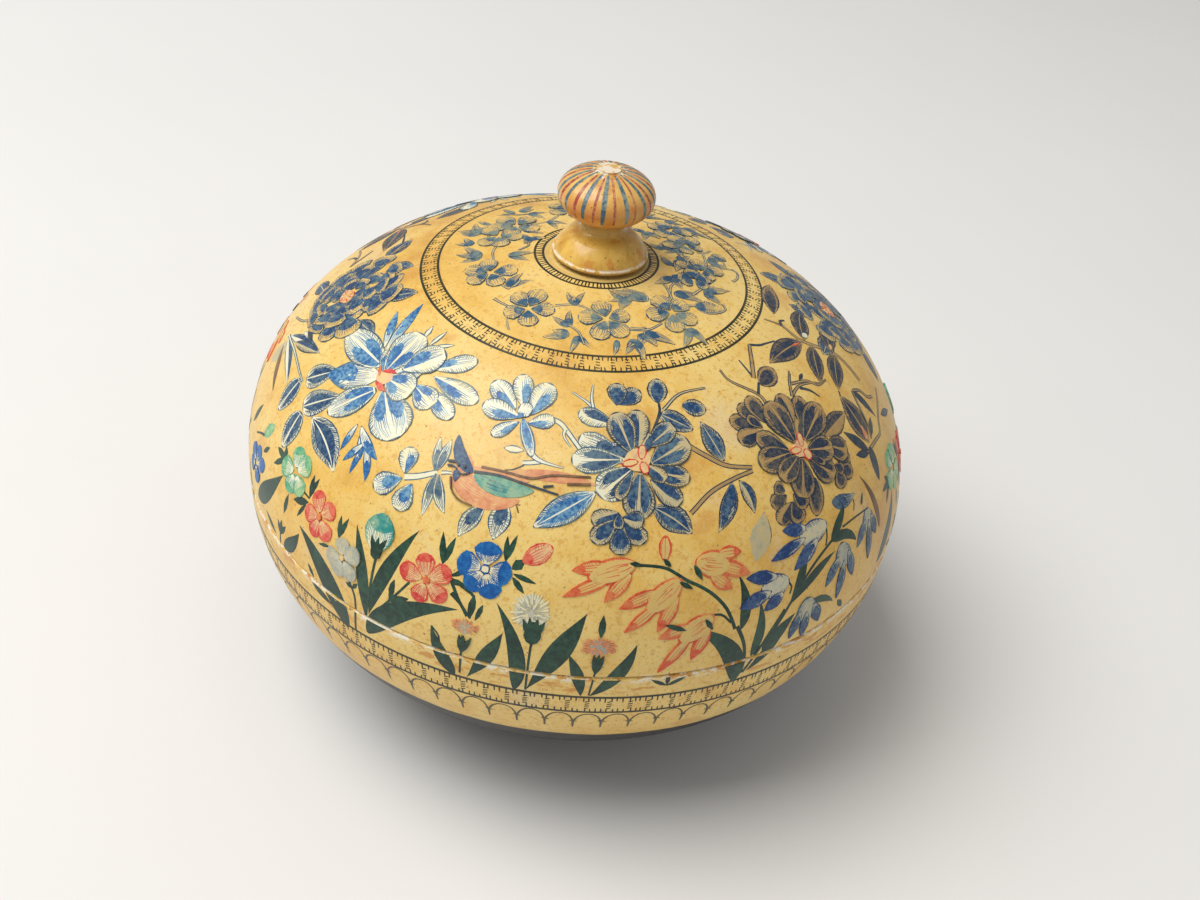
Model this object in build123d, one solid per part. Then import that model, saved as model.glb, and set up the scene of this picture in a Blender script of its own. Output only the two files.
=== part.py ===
"""Round papier-mache box with a domed lift-off lid and a turned wooden knob.

Every piece is turned about the Z axis. The table is at Z = 0 and the origin is
the centre of the flat underside. Sizes are in millimetres.
"""
from build123d import *
from math import acos, asin, degrees, radians, cos, sin
import os

# ---- outer form: a dome over a bowl, two rounded ovals on one widest circle ----
widest_radius = 73.5          # half the box's greatest diameter
bowl_height = 50.0            # table to the top of the bowl's rim
widest_above_rim = 1.0        # the widest circle lies just inside the lid
dome_rise = 50.0              # widest circle to the crown
dome_fullness = 2.15          # 2 is an ellipse, more is squarer in the shoulder
bowl_fullness = 2.2
bowl_oval_below_table = 1.5   # the bowl's oval would end this far below the table
underside_height = 18.0       # where the oval gives way to the curve of the underside
foot_radius = 36.0            # the flat that the box stands on
foot_edge_round = 2.5

# ---- pressed paper shells ----
shell_wall = 3.0
floor_wall = 3.6
seam_gap = 0.3                # open line between the rim and the lid
rim_edge_round = 0.6          # outer edges that meet at the seam
socket_edge_round = 0.5       # inner edge of the lid, which finds the collar

# ---- fitting collar, glued in the bowl, that the lid slips over ----
collar_inset = 0.4            # in from the shells' inner wall at its widest
collar_wall = 1.7
collar_above_rim = 8.0
collar_below_rim = 11.0
collar_glue_gap = 0.05
collar_edge_round = 0.7
lid_slip_clearance = 0.35     # collar to lid, on the radius
socket_headroom = 1.2         # lid's socket above the collar's top edge

# ---- turned knob, its heights counted from its seat on the crown ----
knob_seat_radius = 8.6
knob_foot_radius = 10.1       # thin lip round the bottom
knob_foot_undercut = 0.7      # air under the lip
knob_foot_thickness = 0.9
knob_foot_round = 0.3
knob_bell_radius = 9.7        # rounded bell above the lip
knob_bell_rise = 5.2          # height that its round would reach
knob_bell_fullness = 1.4
knob_bell_end_angle = 50      # from here it sweeps up into the neck
knob_neck_foot = 7.7
knob_neck_radius = 4.5
knob_neck_round = 0.7
knob_head_radius = 10.1
knob_head_middle = 14.2       # height of the head's widest circle
knob_head_drop = 5.9          # from there down to the head's lowest point
knob_head_rise = 5.7          # and up to its highest
knob_button_radius = 2.4      # small flat on top
knob_button_lift = 0.35

# ---- how the knob is held ----
peg_radius = 2.6              # turned in one with the knob
peg_glue_gap = 0.05
backing_radius = 9.5          # disc of board glued under the crown
backing_thickness = 2.4
backing_edge_round = 0.5

guide_points = 10             # points along each oval line

# ---- heights that follow ----
widest_height = bowl_height + widest_above_rim
bowl_drop = widest_height + bowl_oval_below_table
lid_bottom = bowl_height + seam_gap
inner_radius = widest_radius - shell_wall
collar_radius = inner_radius - collar_inset
socket_radius = collar_radius + lid_slip_clearance
socket_top = bowl_height + collar_above_rim + socket_headroom


class Oval:
    """Quarter of a rounded oval, from its widest circle to its end on the axis."""

    def __init__(self, middle_height, radius, rise, fullness, centre_radius=0.0):
        self.middle = middle_height
        self.radius = radius
        self.rise = rise
        self.fullness = fullness
        self.centre = centre_radius

    def angle_at_height(self, height):
        share = min(abs((height - self.middle) / self.rise), 1.0)
        return degrees(asin(share ** (self.fullness / 2)))

    def angle_at_radius(self, radius):
        share = min(max((radius - self.centre) / self.radius, 0.0), 1.0)
        return degrees(acos(share ** (self.fullness / 2)))

    def point(self, angle):
        across = abs(cos(radians(angle))) ** (2 / self.fullness)
        along = abs(sin(radians(angle))) ** (2 / self.fullness)
        return self.centre + self.radius * across, self.middle + self.rise * along

    def direction(self, angle):
        """Direction of travel along the oval, from its widest circle to its end."""
        radius, height = self.point(angle)
        power = self.fullness - 1
        across = ((radius - self.centre) / self.radius) ** power / self.radius
        along = ((height - self.middle) / self.rise) ** power / abs(self.rise)
        return Vector(-along, across if self.rise > 0 else -across)

    def line(self, start_angle, end_angle):
        """Smooth line along the oval between two angles, either way round."""
        step = (end_angle - start_angle) / guide_points
        points = [self.point(start_angle + step * count) for count in range(guide_points + 1)]
        way = 1 if step > 0 else -1
        ends = [self.direction(angle) * way for angle in (start_angle, end_angle)]
        return Spline(*points, tangents=ends)


outer_dome = Oval(widest_height, widest_radius, dome_rise, dome_fullness)
inner_dome = Oval(widest_height, inner_radius, dome_rise - shell_wall, dome_fullness)
outer_bowl = Oval(widest_height, widest_radius, -bowl_drop, bowl_fullness)
inner_bowl = Oval(widest_height, inner_radius, -(bowl_drop - shell_wall), bowl_fullness)

knob_seat_height = outer_dome.point(outer_dome.angle_at_radius(knob_seat_radius))[1]
backing_top = inner_dome.point(inner_dome.angle_at_radius(backing_radius))[1]
backing_bottom = backing_top - backing_thickness
hole_radius = peg_radius + peg_glue_gap


def height_at(oval, radius):
    """Height of an oval at a distance from the axis."""
    return oval.point(oval.angle_at_radius(radius))[1]


def radius_at(oval, height):
    """Distance of an oval from the axis at a height."""
    return oval.point(oval.angle_at_height(height))[0]


def outside_between(low, high):
    """Outer line of the box between two heights, as lines from low to high."""
    lines = []
    if low < widest_height:
        low_angle = outer_bowl.angle_at_height(low)
        lines.append(outer_bowl.line(low_angle, outer_bowl.angle_at_height(min(high, widest_height))))
    if high > widest_height:
        low_angle = outer_dome.angle_at_height(max(low, widest_height))
        lines.append(outer_dome.line(low_angle, outer_dome.angle_at_height(high)))
    return lines


def turned(lines):
    """Solid turned about the Z axis from a closed outline of (radius, height)."""
    edges = [edge for line in lines for edge in line.edges()]
    return revolve(Plane.XZ * make_face(edges), Axis.Z)


def rounded(solid, radius, height, edge_round):
    """The solid with its circular edge of this radius and height rounded."""
    edges = [
        edge
        for edge in solid.edges().filter_by(GeomType.CIRCLE)
        if abs(edge.radius - radius) < 0.01 and abs(edge.arc_center.Z - height) < 0.01
    ]
    return fillet(edges, edge_round)


def make_lid_shell():
    """Dome, thinned inside its rim to a straight socket for the collar."""
    outside = outside_between(lid_bottom, knob_seat_height)
    rim_radius = (outside[0] @ 0).X
    ledge_radius = radius_at(inner_dome, socket_top)
    ledge_angle = inner_dome.angle_at_height(socket_top)
    backing_angle = inner_dome.angle_at_radius(backing_radius)
    socket = Polyline(
        (rim_radius, lid_bottom),
        (socket_radius, lid_bottom),
        (socket_radius, socket_top),
        (ledge_radius, socket_top),
    )
    crown = Polyline(
        (backing_radius, backing_top),
        (hole_radius, backing_top),
        (hole_radius, knob_seat_height),
        (knob_seat_radius, knob_seat_height),
    )
    lid = turned([*outside, socket, inner_dome.line(ledge_angle, backing_angle), crown])
    lid = rounded(lid, rim_radius, lid_bottom, rim_edge_round)
    return rounded(lid, socket_radius, lid_bottom, socket_edge_round)


def make_backing_disc():
    """Disc of board glued under the crown, which gives the knob's peg its depth."""
    middle = (backing_top + backing_bottom) / 2
    disc = Pos(0, 0, middle) * Cylinder(backing_radius, backing_thickness)
    disc -= Pos(0, 0, middle) * Cylinder(hole_radius, backing_thickness)
    return rounded(disc, backing_radius, backing_bottom, backing_edge_round)


def make_knob():
    """Turned head, neck, bell and lipped foot, with the peg in one with them."""
    seat = knob_seat_height
    lip_bottom = seat + knob_foot_undercut
    lip_top = lip_bottom + knob_foot_thickness
    bell_width = knob_bell_radius - knob_neck_radius
    bell = Oval(lip_top, bell_width, knob_bell_rise, knob_bell_fullness, knob_neck_radius)
    neck_foot = (knob_neck_radius, seat + knob_neck_foot)
    sweep = Spline(
        bell.point(knob_bell_end_angle),
        neck_foot,
        tangents=[bell.direction(knob_bell_end_angle), Vector(0, 1)],
    )
    head_middle = seat + knob_head_middle
    head_below = Oval(head_middle, knob_head_radius, -knob_head_drop, 2)
    head_above = Oval(head_middle, knob_head_radius, knob_head_rise, 2)
    neck_top = height_at(head_below, knob_neck_radius)
    button_bottom = height_at(head_above, knob_button_radius)
    button_top = button_bottom + knob_button_lift
    foot = Polyline(
        (0, backing_bottom),
        (peg_radius, backing_bottom),
        (peg_radius, seat),
        (knob_seat_radius, seat),
        (knob_foot_radius, lip_bottom),
        (knob_foot_radius, lip_top),
        (knob_bell_radius, lip_top),
    )
    neck = Line(neck_foot, (knob_neck_radius, neck_top))
    button = Polyline(
        (knob_button_radius, button_bottom),
        (knob_button_radius, button_top),
        (0, button_top),
        (0, backing_bottom),
    )
    knob = turned([
        foot,
        bell.line(0, knob_bell_end_angle),
        sweep,
        neck,
        head_below.line(head_below.angle_at_radius(knob_neck_radius), 0),
        head_above.line(0, head_above.angle_at_radius(knob_button_radius)),
        button,
    ])
    knob = rounded(knob, knob_neck_radius, neck_top, knob_neck_round)
    knob = rounded(knob, knob_foot_radius, lip_bottom, knob_foot_round)
    return rounded(knob, knob_foot_radius, lip_top, knob_foot_round)


def underside(oval, start_height, flat_radius, flat_height):
    """Line from an oval down and in to the edge of a flat, leaving it tangent."""
    angle = oval.angle_at_height(start_height)
    return TangentArc(oval.point(angle), (flat_radius, flat_height), tangent=oval.direction(angle))


def make_bowl_shell():
    """Bowl with a flat foot and floor, and a straight seat for the collar."""
    outside = outside_between(underside_height, bowl_height)
    rim_radius = (outside[-1] @ 1).X
    seat_radius = collar_radius + collar_glue_gap
    ledge_height = bowl_height - collar_below_rim
    ledge_radius = radius_at(inner_bowl, ledge_height)
    inner_turn_height = underside_height + shell_wall
    seat = Polyline(
        (rim_radius, bowl_height),
        (seat_radius, bowl_height),
        (seat_radius, ledge_height),
        (ledge_radius, ledge_height),
    )
    inside = inner_bowl.line(
        inner_bowl.angle_at_height(ledge_height), inner_bowl.angle_at_height(inner_turn_height)
    )
    floor = Polyline((foot_radius, floor_wall), (0, floor_wall), (0, 0), (foot_radius, 0))
    bowl = turned([
        *outside,
        seat,
        inside,
        underside(inner_bowl, inner_turn_height, foot_radius, floor_wall),
        floor,
        underside(outer_bowl, underside_height, foot_radius, 0),
    ])
    bowl = rounded(bowl, rim_radius, bowl_height, rim_edge_round)
    return rounded(bowl, foot_radius, 0, foot_edge_round)


def make_fitting_collar():
    """Strip of board bent to a ring and glued in the bowl, standing above its rim."""
    bottom = bowl_height - collar_below_rim
    top = bowl_height + collar_above_rim
    middle = Pos(0, 0, (bottom + top) / 2)
    collar = middle * Cylinder(collar_radius, top - bottom)
    collar -= middle * Cylinder(collar_radius - collar_wall, top - bottom)
    return rounded(collar, collar_radius, top, collar_edge_round)


pieces = {
    "lid_shell": make_lid_shell(),
    "knob": make_knob(),
    "knob_backing_disc": make_backing_disc(),
    "bowl_shell": make_bowl_shell(),
    "fitting_collar": make_fitting_collar(),
}
os.makedirs("parts", exist_ok=True)
for name, piece in pieces.items():
    piece.label = name
    export_step(piece, f"parts/{name}.step")
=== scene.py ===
"""Looks of a round papier-mache box: lacquered grounds, painted flowers and a turned knob.

The painting is real geometry. Every brush stroke, petal and leaf is a thin film of
paint pressed on the box's own form, and each paint makes one piece on the lid and
one on the bowl. Lengths are in millimetres and turn to metres where a mesh is placed.
"""
import logging
from collections.abc import Callable, Iterable, Sequence
from dataclasses import dataclass, field
from enum import Enum
from math import acos, asin, atan2, ceil, cos, hypot, pi, radians, sin
from random import Random

import bmesh
import bpy
from mathutils import Matrix, Vector


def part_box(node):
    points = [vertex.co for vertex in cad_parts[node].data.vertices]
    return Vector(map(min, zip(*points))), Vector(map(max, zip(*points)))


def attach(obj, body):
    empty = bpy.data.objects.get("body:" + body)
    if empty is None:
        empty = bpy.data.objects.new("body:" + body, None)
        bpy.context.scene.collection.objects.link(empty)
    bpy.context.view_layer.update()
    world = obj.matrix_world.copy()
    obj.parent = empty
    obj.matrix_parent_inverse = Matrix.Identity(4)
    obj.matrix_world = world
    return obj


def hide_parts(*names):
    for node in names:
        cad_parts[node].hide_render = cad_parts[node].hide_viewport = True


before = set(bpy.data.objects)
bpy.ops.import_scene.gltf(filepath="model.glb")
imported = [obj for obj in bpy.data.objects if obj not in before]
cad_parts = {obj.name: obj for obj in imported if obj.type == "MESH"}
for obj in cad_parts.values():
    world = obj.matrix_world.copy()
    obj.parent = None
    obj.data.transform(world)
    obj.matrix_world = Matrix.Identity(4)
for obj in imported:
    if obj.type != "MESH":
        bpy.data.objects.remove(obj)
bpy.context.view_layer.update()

log = logging.getLogger("papier_mache_box")

MM = 0.001
Colour = tuple[float, float, float]
Point = tuple[float, float]


# ---------------------------------------------------------------- shader recipes


class Level:
    """A shader value that takes Python arithmetic and adds the Math nodes for it."""

    def __init__(self, recipe: "Recipe", socket: bpy.types.NodeSocket) -> None:
        """Wraps an output socket.

        Args:
            recipe: The material that the socket is in.
            socket: The output that holds the value.
        """
        self.recipe = recipe
        self.socket = socket

    def _with(self, operation: str, *values: "Level | float", clamp: bool = False) -> "Level":
        """Result of one Math node on the given values, in their order."""
        settings = {"operation": operation, "use_clamp": clamp}
        node = self.recipe.node("ShaderNodeMath", settings, dict(enumerate(values)))
        return Level(self.recipe, node.outputs[0])

    def __add__(self, other: "Level | float") -> "Level":
        """Sum."""
        return self._with("ADD", self, other)

    __radd__ = __add__

    def __mul__(self, other: "Level | float") -> "Level":
        """Product."""
        return self._with("MULTIPLY", self, other)

    __rmul__ = __mul__

    def __sub__(self, other: "Level | float") -> "Level":
        """Difference."""
        return self._with("SUBTRACT", self, other)

    def __rsub__(self, other: "Level | float") -> "Level":
        """Difference, with the plain number first."""
        return self._with("SUBTRACT", other, self)

    def __truediv__(self, other: "Level | float") -> "Level":
        """Quotient."""
        return self._with("DIVIDE", self, other)

    def __gt__(self, other: "Level | float") -> "Level":
        """1 where this value is the larger, else 0."""
        return self._with("GREATER_THAN", self, other)

    def over(self, other: "Level | float") -> "Level":
        """The larger of two values."""
        return self._with("MAXIMUM", self, other)

    def between(self, low: float, high: float) -> "Level":
        """Smooth step from 0 at one value to 1 at another, either way round.

        Args:
            low: Value at which the result is 0.
            high: Value at which the result is 1.

        Returns:
            The stepped value.
        """
        node = self.recipe.node(
            "ShaderNodeMapRange",
            {"interpolation_type": "SMOOTHSTEP", "clamp": True},
            {"Value": self, "From Min": low, "From Max": high},
        )
        return Level(self.recipe, node.outputs[0])


class Recipe:
    """One material under construction, with its Principled shader."""

    def __init__(self, name: str) -> None:
        """Starts an empty material.

        Args:
            name: The material's name.
        """
        self.material = bpy.data.materials.new(name)
        self.material.use_nodes = True
        self.tree = self.material.node_tree
        self.tree.nodes.clear()
        output = self.tree.nodes.new("ShaderNodeOutputMaterial")
        self.shader = self.tree.nodes.new("ShaderNodeBsdfPrincipled")
        self.tree.links.new(self.shader.outputs[0], output.inputs["Surface"])
        self.place = self.node("ShaderNodeTexCoord", {}, {}).outputs["Object"]

    def node(self, kind: str, settings: dict, inputs: dict) -> bpy.types.Node:
        """Adds a node.

        Args:
            kind: The node's type.
            settings: Its own properties, set first.
            inputs: Values, levels or sockets by input name or number.

        Returns:
            The new node.
        """
        node = self.tree.nodes.new(kind)
        for key, value in settings.items():
            setattr(node, key, value)
        for key, value in inputs.items():
            if isinstance(value, Level):
                value = value.socket
            if isinstance(value, bpy.types.NodeSocket):
                self.tree.links.new(value, node.inputs[key])
            else:
                node.inputs[key].default_value = value
        return node

    def ramp(self, factor: Level, stops: Sequence[tuple[float, Colour]]) -> bpy.types.NodeSocket:
        """Colour ramp over a level.

        Args:
            factor: Level from 0 to 1.
            stops: Position and colour of each stop.

        Returns:
            The ramp's colour.
        """
        node = self.node("ShaderNodeValToRGB", {}, {"Fac": factor})
        elements = node.color_ramp.elements
        while len(elements) < len(stops):
            elements.new(0.5)
        for element, (position, colour) in zip(elements, stops):
            element.position = position
            element.color = (*colour, 1.0)
        return node.outputs["Color"]

    def mix(
        self,
        factor: Level | float,
        first: Colour | bpy.types.NodeSocket,
        second: Colour | bpy.types.NodeSocket,
        blend: str = "MIX",
    ) -> bpy.types.NodeSocket:
        """Mixes two colours.

        Args:
            factor: 0 for the first colour, 1 for the second.
            first: Colour or socket.
            second: Colour or socket.
            blend: Blend type of the Mix node.

        Returns:
            The mixed colour.
        """
        ends = [(*end, 1.0) if isinstance(end, tuple) else end for end in (first, second)]
        node = self.node("ShaderNodeMix", {"data_type": "RGBA", "blend_type": blend}, {
            0: factor, 6: ends[0], 7: ends[1],
        })
        return node.outputs[2]

    def scaled_place(self, stretch: Colour) -> bpy.types.NodeSocket:
        """Object coordinates stretched along each axis."""
        return self.node("ShaderNodeMapping", {}, {"Vector": self.place, "Scale": stretch}).outputs[0]

    def noise(
        self, pitch: float, detail: float = 3.0, roughness: float = 0.55, seed: float = 0.0,
        place: bpy.types.NodeSocket | None = None,
    ) -> Level:
        """Soft noise.

        Args:
            pitch: Size of its largest blotches.
            detail: Octaves.
            roughness: Share of each finer octave.
            seed: Slice of the noise, so that two of one pitch differ.
            place: Coordinates, or None for object coordinates.

        Returns:
            The noise, about 0.25 to 0.75.
        """
        node = self.node("ShaderNodeTexNoise", {"noise_dimensions": "4D"}, {
            "Vector": place or self.place, "W": seed, "Scale": 1 / (pitch * MM),
            "Detail": detail, "Roughness": roughness,
        })
        return Level(self, node.outputs[0])

    def specks(self, pitch: float, size: float, share: float, seed: float) -> Level:
        """Round specks, some cells of a grid holding one each.

        Args:
            pitch: Size of a cell.
            size: Radius of a speck, as a share of its cell.
            share: Share of the cells that hold a speck.
            seed: Slice of the pattern.

        Returns:
            1 on a speck, else 0.
        """
        node = self.node("ShaderNodeTexVoronoi", {"voronoi_dimensions": "4D"}, {
            "Vector": self.place, "W": seed, "Scale": 1 / (pitch * MM),
        })
        cell = self.node("ShaderNodeSeparateColor", {}, {"Color": node.outputs["Color"]})
        chosen = Level(self, cell.outputs[0]).between(1 - share, 1 - share + 0.02)
        return Level(self, node.outputs["Distance"]).between(size, size * 0.5) * chosen

    def axes(self) -> tuple[Level, Level, Level]:
        """Object coordinates in metres, one level each."""
        parts = self.node("ShaderNodeSeparateXYZ", {}, {"Vector": self.place})
        return tuple(Level(self, parts.outputs[number]) for number in range(3))

    def relief(self, height: Level, depth: float, strength: float = 1.0) -> None:
        """Gives the shader a bump.

        Args:
            height: Level that the surface follows.
            depth: Depth of a full step of the level.
            strength: Strength of the bump.
        """
        bump = self.node("ShaderNodeBump", {}, {
            "Strength": strength, "Distance": depth * MM, "Height": height,
        })
        self.tree.links.new(bump.outputs[0], self.shader.inputs["Normal"])

    def surface(
        self, colour: bpy.types.NodeSocket, roughness: Level, coat: float, coat_roughness: float
    ) -> None:
        """Sets what every lacquered finish sets.

        Args:
            colour: Base colour.
            roughness: Roughness under the coat.
            coat: Weight of the clear coat.
            coat_roughness: Its roughness.
        """
        self.tree.links.new(colour, self.shader.inputs["Base Color"])
        self.tree.links.new(roughness.socket, self.shader.inputs["Roughness"])
        self.shader.inputs["Coat Weight"].default_value = coat
        self.shader.inputs["Coat Roughness"].default_value = coat_roughness
        self.shader.inputs["IOR"].default_value = 1.40


# ---------------------------------------------------------------- finishes


@dataclass(frozen=True)
class OchreLacquer:
    """Aged yellow ground under clear lacquer, black below the painted line of the bowl."""

    name: str = "ochre_lacquer"
    pale: Colour = (0.84, 0.61, 0.20)
    ochre: Colour = (0.79, 0.49, 0.105)
    deep: Colour = (0.63, 0.33, 0.05)
    rust: Colour = (0.60, 0.24, 0.03)
    rubbed: Colour = (0.74, 0.58, 0.34)
    speck: Colour = (0.17, 0.08, 0.03)
    bare: Colour = (0.86, 0.83, 0.72)
    black: Colour = (0.022, 0.018, 0.016)
    seam_height: float = 50.15
    black_below: float = 29.2

    def material(self) -> bpy.types.Material:
        """Builds the material."""
        recipe = Recipe(self.name)
        east, _, height = recipe.axes()
        cloud = recipe.noise(38, 2.5, seed=1.3)
        mottle = recipe.noise(7, 4.0, 0.6, seed=4.1)
        grain = recipe.noise(0.9, 3.0, 0.6, seed=2.2)
        colour = recipe.ramp(cloud * 0.55 + mottle * 0.45, [
            (0.32, self.deep), (0.44, self.ochre), (0.58, self.pale),
        ])
        stain = recipe.noise(13, 3.0, seed=7.7).between(0.60, 0.70)
        colour = recipe.mix(stain * 0.45, colour, self.rust)
        scuffed = recipe.noise(17, 4.0, 0.62, seed=9.4).between(0.58, 0.68)
        colour = recipe.mix(scuffed * 0.5, colour, self.rubbed)
        colour = recipe.mix(grain.between(0.47, 0.36) * 0.6, colour, self.deep)
        dust = recipe.noise(0.42, 2.0, 0.6, seed=8.3)
        colour = recipe.mix(dust.between(0.52, 0.66) * 0.35, colour, self.rubbed)
        colour = recipe.mix(dust.between(0.44, 0.32) * 0.5, colour, self.deep)
        specks = recipe.specks(1.1, 0.22, 0.36, 0.4).over(recipe.specks(3.9, 0.11, 0.4, 2.6))
        colour = recipe.mix(specks * 0.75, colour, self.speck)
        edge = (height - self.seam_height * MM) / MM
        below = edge.between(-1.9, -0.3) * edge.between(0.5, 0.1)
        above = edge.between(1.1, 0.5) * edge.between(0.0, 0.1)
        chips = recipe.noise(2.0, 5.0, 0.7, seed=5.5, place=recipe.scaled_place((1, 1, 2.2)))
        smears = recipe.noise(6.0, 3.0, 0.6, seed=2.8, place=recipe.scaled_place((1, 1, 3.0)))
        strip = edge.between(-4.8, -3.4) * edge.between(0.2, -0.4)
        colour = recipe.mix(strip * smears.between(0.52, 0.60) * 0.75, colour, self.rust)
        colour = recipe.mix(below * chips.between(0.49, 0.53) * 0.9, colour, self.bare)
        colour = recipe.mix(above * chips.between(0.56, 0.60) * 0.8, colour, self.bare)
        colour = recipe.mix(below * chips.between(0.40, 0.35) * 0.8, colour, self.speck)
        line = height + (recipe.noise(9, 2.0, seed=3.0) - 0.5) * (1.6 * MM)
        dark = line.between((self.black_below + 0.25) * MM, (self.black_below - 0.25) * MM)
        colour = recipe.mix(dark, colour, self.black)
        roughness = 0.42 + (mottle - 0.5) * 0.3 + scuffed * 0.12
        recipe.surface(colour, roughness, 0.16, 0.24)
        recipe.relief(mottle * 0.6 + grain * 0.4, 0.05, 0.6)
        return recipe.material


@dataclass(frozen=True)
class BlackLacquer:
    """Black paint of the inside and the underside, with brush marks and brown wear."""

    name: str = "black_lacquer"
    black: Colour = (0.020, 0.016, 0.014)
    brown: Colour = (0.075, 0.043, 0.024)
    board: Colour = (0.33, 0.22, 0.12)
    wear: float = 0.0

    def material(self) -> bpy.types.Material:
        """Builds the material."""
        recipe = Recipe(self.name)
        brushed = recipe.noise(3.5, 4.0, 0.6, seed=3.3, place=recipe.scaled_place((1, 1, 0.25)))
        cloud = recipe.noise(22, 3.0, seed=6.1)
        colour = recipe.ramp(brushed * 0.6 + cloud * 0.4, [(0.38, self.black), (0.62, self.brown)])
        scuffs = recipe.noise(4.5, 5.0, 0.7, seed=8.8).between(0.66 - self.wear, 0.72 - self.wear)
        colour = recipe.mix(scuffs * 0.8, colour, self.board)
        recipe.surface(colour, 0.45 + (brushed - 0.5) * 0.4 + scuffs * 0.2, 0.25, 0.35)
        recipe.relief(brushed, 0.05, 0.6)
        return recipe.material


@dataclass(frozen=True)
class KnobLacquer:
    """Ochre over turned wood: orange wash on the head, painted shade under it, painted brown shade in the hollows,
    rubbed rims, the lip's partly a painted highlight.
    """

    name: str
    seat_height: float
    ochre: Colour = (0.60, 0.31, 0.035)
    pale: Colour = (0.80, 0.50, 0.10)
    sand: Colour = (0.76, 0.47, 0.17)
    orange: Colour = (0.60, 0.18, 0.02)
    brown: Colour = (0.17, 0.075, 0.022)
    bare: Colour = (0.84, 0.79, 0.66)

    def material(self) -> bpy.types.Material:
        """Builds the material."""
        recipe = Recipe(self.name)
        east, north, height = recipe.axes()
        above = (height - self.seat_height * MM) / MM
        grain = recipe.noise(2.0, 4.0, 0.6, seed=1.9, place=recipe.scaled_place((1, 1, 0.3)))
        cloud = recipe.noise(9, 3.0, seed=5.2)
        colour = recipe.ramp(cloud * 0.5 + grain * 0.5, [(0.40, self.ochre), (0.56, self.pale)])
        head = above.between(9.5, 12.5)
        colour = recipe.mix(head * 0.45, colour, self.sand)
        # Painted shade: orange-brown darkening, broken by the grain, on the underside of the head.
        under = above.between(8.6, 9.4) * above.between(13.5, 10.5) * grain.between(0.40, 0.58)
        colour = recipe.mix(under * 0.7, colour, self.orange)
        wash = above.between(8.0, 11.0) * above.between(18.5, 13.0) * cloud.between(0.40, 0.56)
        colour = recipe.mix(wash * 0.85, colour, self.orange)
        stain = recipe.noise(3.4, 4.0, 0.6, seed=7.1).between(0.54, 0.64)
        colour = recipe.mix(stain * 0.55, colour, self.orange)
        # Painted shade: brown darkening of the neck, in the hollow under the head, where shade falls.
        hollow_shade = above.between(5.4, 8.8) * above.between(11.6, 9.4)
        colour = recipe.mix(hollow_shade * 0.45, colour, self.brown)
        # Painted shadow: brown band under the foot's lip, where it stands clear of the crown.
        underlip_shadow = above.between(1.15, 0.8)
        colour = recipe.mix(underlip_shadow * 0.9, colour, self.brown)
        # Pale line round the top edge of the foot's lip: partly rubbed wear, partly a painted highlight.
        rim = above.between(1.2, 1.4) * above.between(2.0, 1.6)
        colour = recipe.mix(rim * grain.between(0.47, 0.54) * 0.7, colour, self.bare)
        crown = above.between(19.2, 19.6) * grain.between(0.47, 0.53)
        colour = recipe.mix(crown * 0.8, colour, self.bare)
        specks = recipe.specks(0.8, 0.30, 0.50, 1.2)
        colour = recipe.mix(specks * 0.75, colour, self.brown)
        recipe.surface(colour, 0.36 + (grain - 0.5) * 0.35, 0.4, 0.18)
        recipe.relief(grain, 0.03, 0.5)
        return recipe.material


@dataclass(frozen=True)
class PaintFilm:
    """A brushed film of paint that thins, here and there, towards what lies under it."""

    name: str
    colour: Colour
    thin: Colour
    patchiness: float = 0.5
    pitch: float = 1.6

    def material(self) -> bpy.types.Material:
        """Builds the material."""
        recipe = Recipe(self.name)
        streaks = recipe.noise(self.pitch, 4.0, 0.65, seed=2.7)
        cloud = recipe.noise(self.pitch * 6, 2.0, seed=6.6)
        thinned = (streaks * 0.6 + cloud * 0.4).between(0.43, 0.61) * self.patchiness
        shade = tuple(channel * 0.72 for channel in self.colour)
        colour = recipe.mix(streaks.between(0.5, 0.3) * 0.6, self.colour, shade)
        colour = recipe.mix(thinned, colour, self.thin)
        recipe.surface(colour, 0.42 + (streaks - 0.5) * 0.3, 0.16, 0.26)
        recipe.relief(streaks, 0.012, 0.5)
        return recipe.material


@dataclass(frozen=True)
class StudioFloor:
    """Plain pale floor with the faintest grain."""

    name: str = "studio_floor"
    pale: Colour = (0.80, 0.79, 0.77)
    paler: Colour = (0.84, 0.83, 0.81)

    def material(self) -> bpy.types.Material:
        """Builds the material."""
        recipe = Recipe(self.name)
        cloud = recipe.noise(120, 3.0)
        colour = recipe.mix(cloud, self.pale, self.paler)
        recipe.surface(colour, 0.75 + cloud * 0.1, 0.0, 0.3)
        return recipe.material


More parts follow.
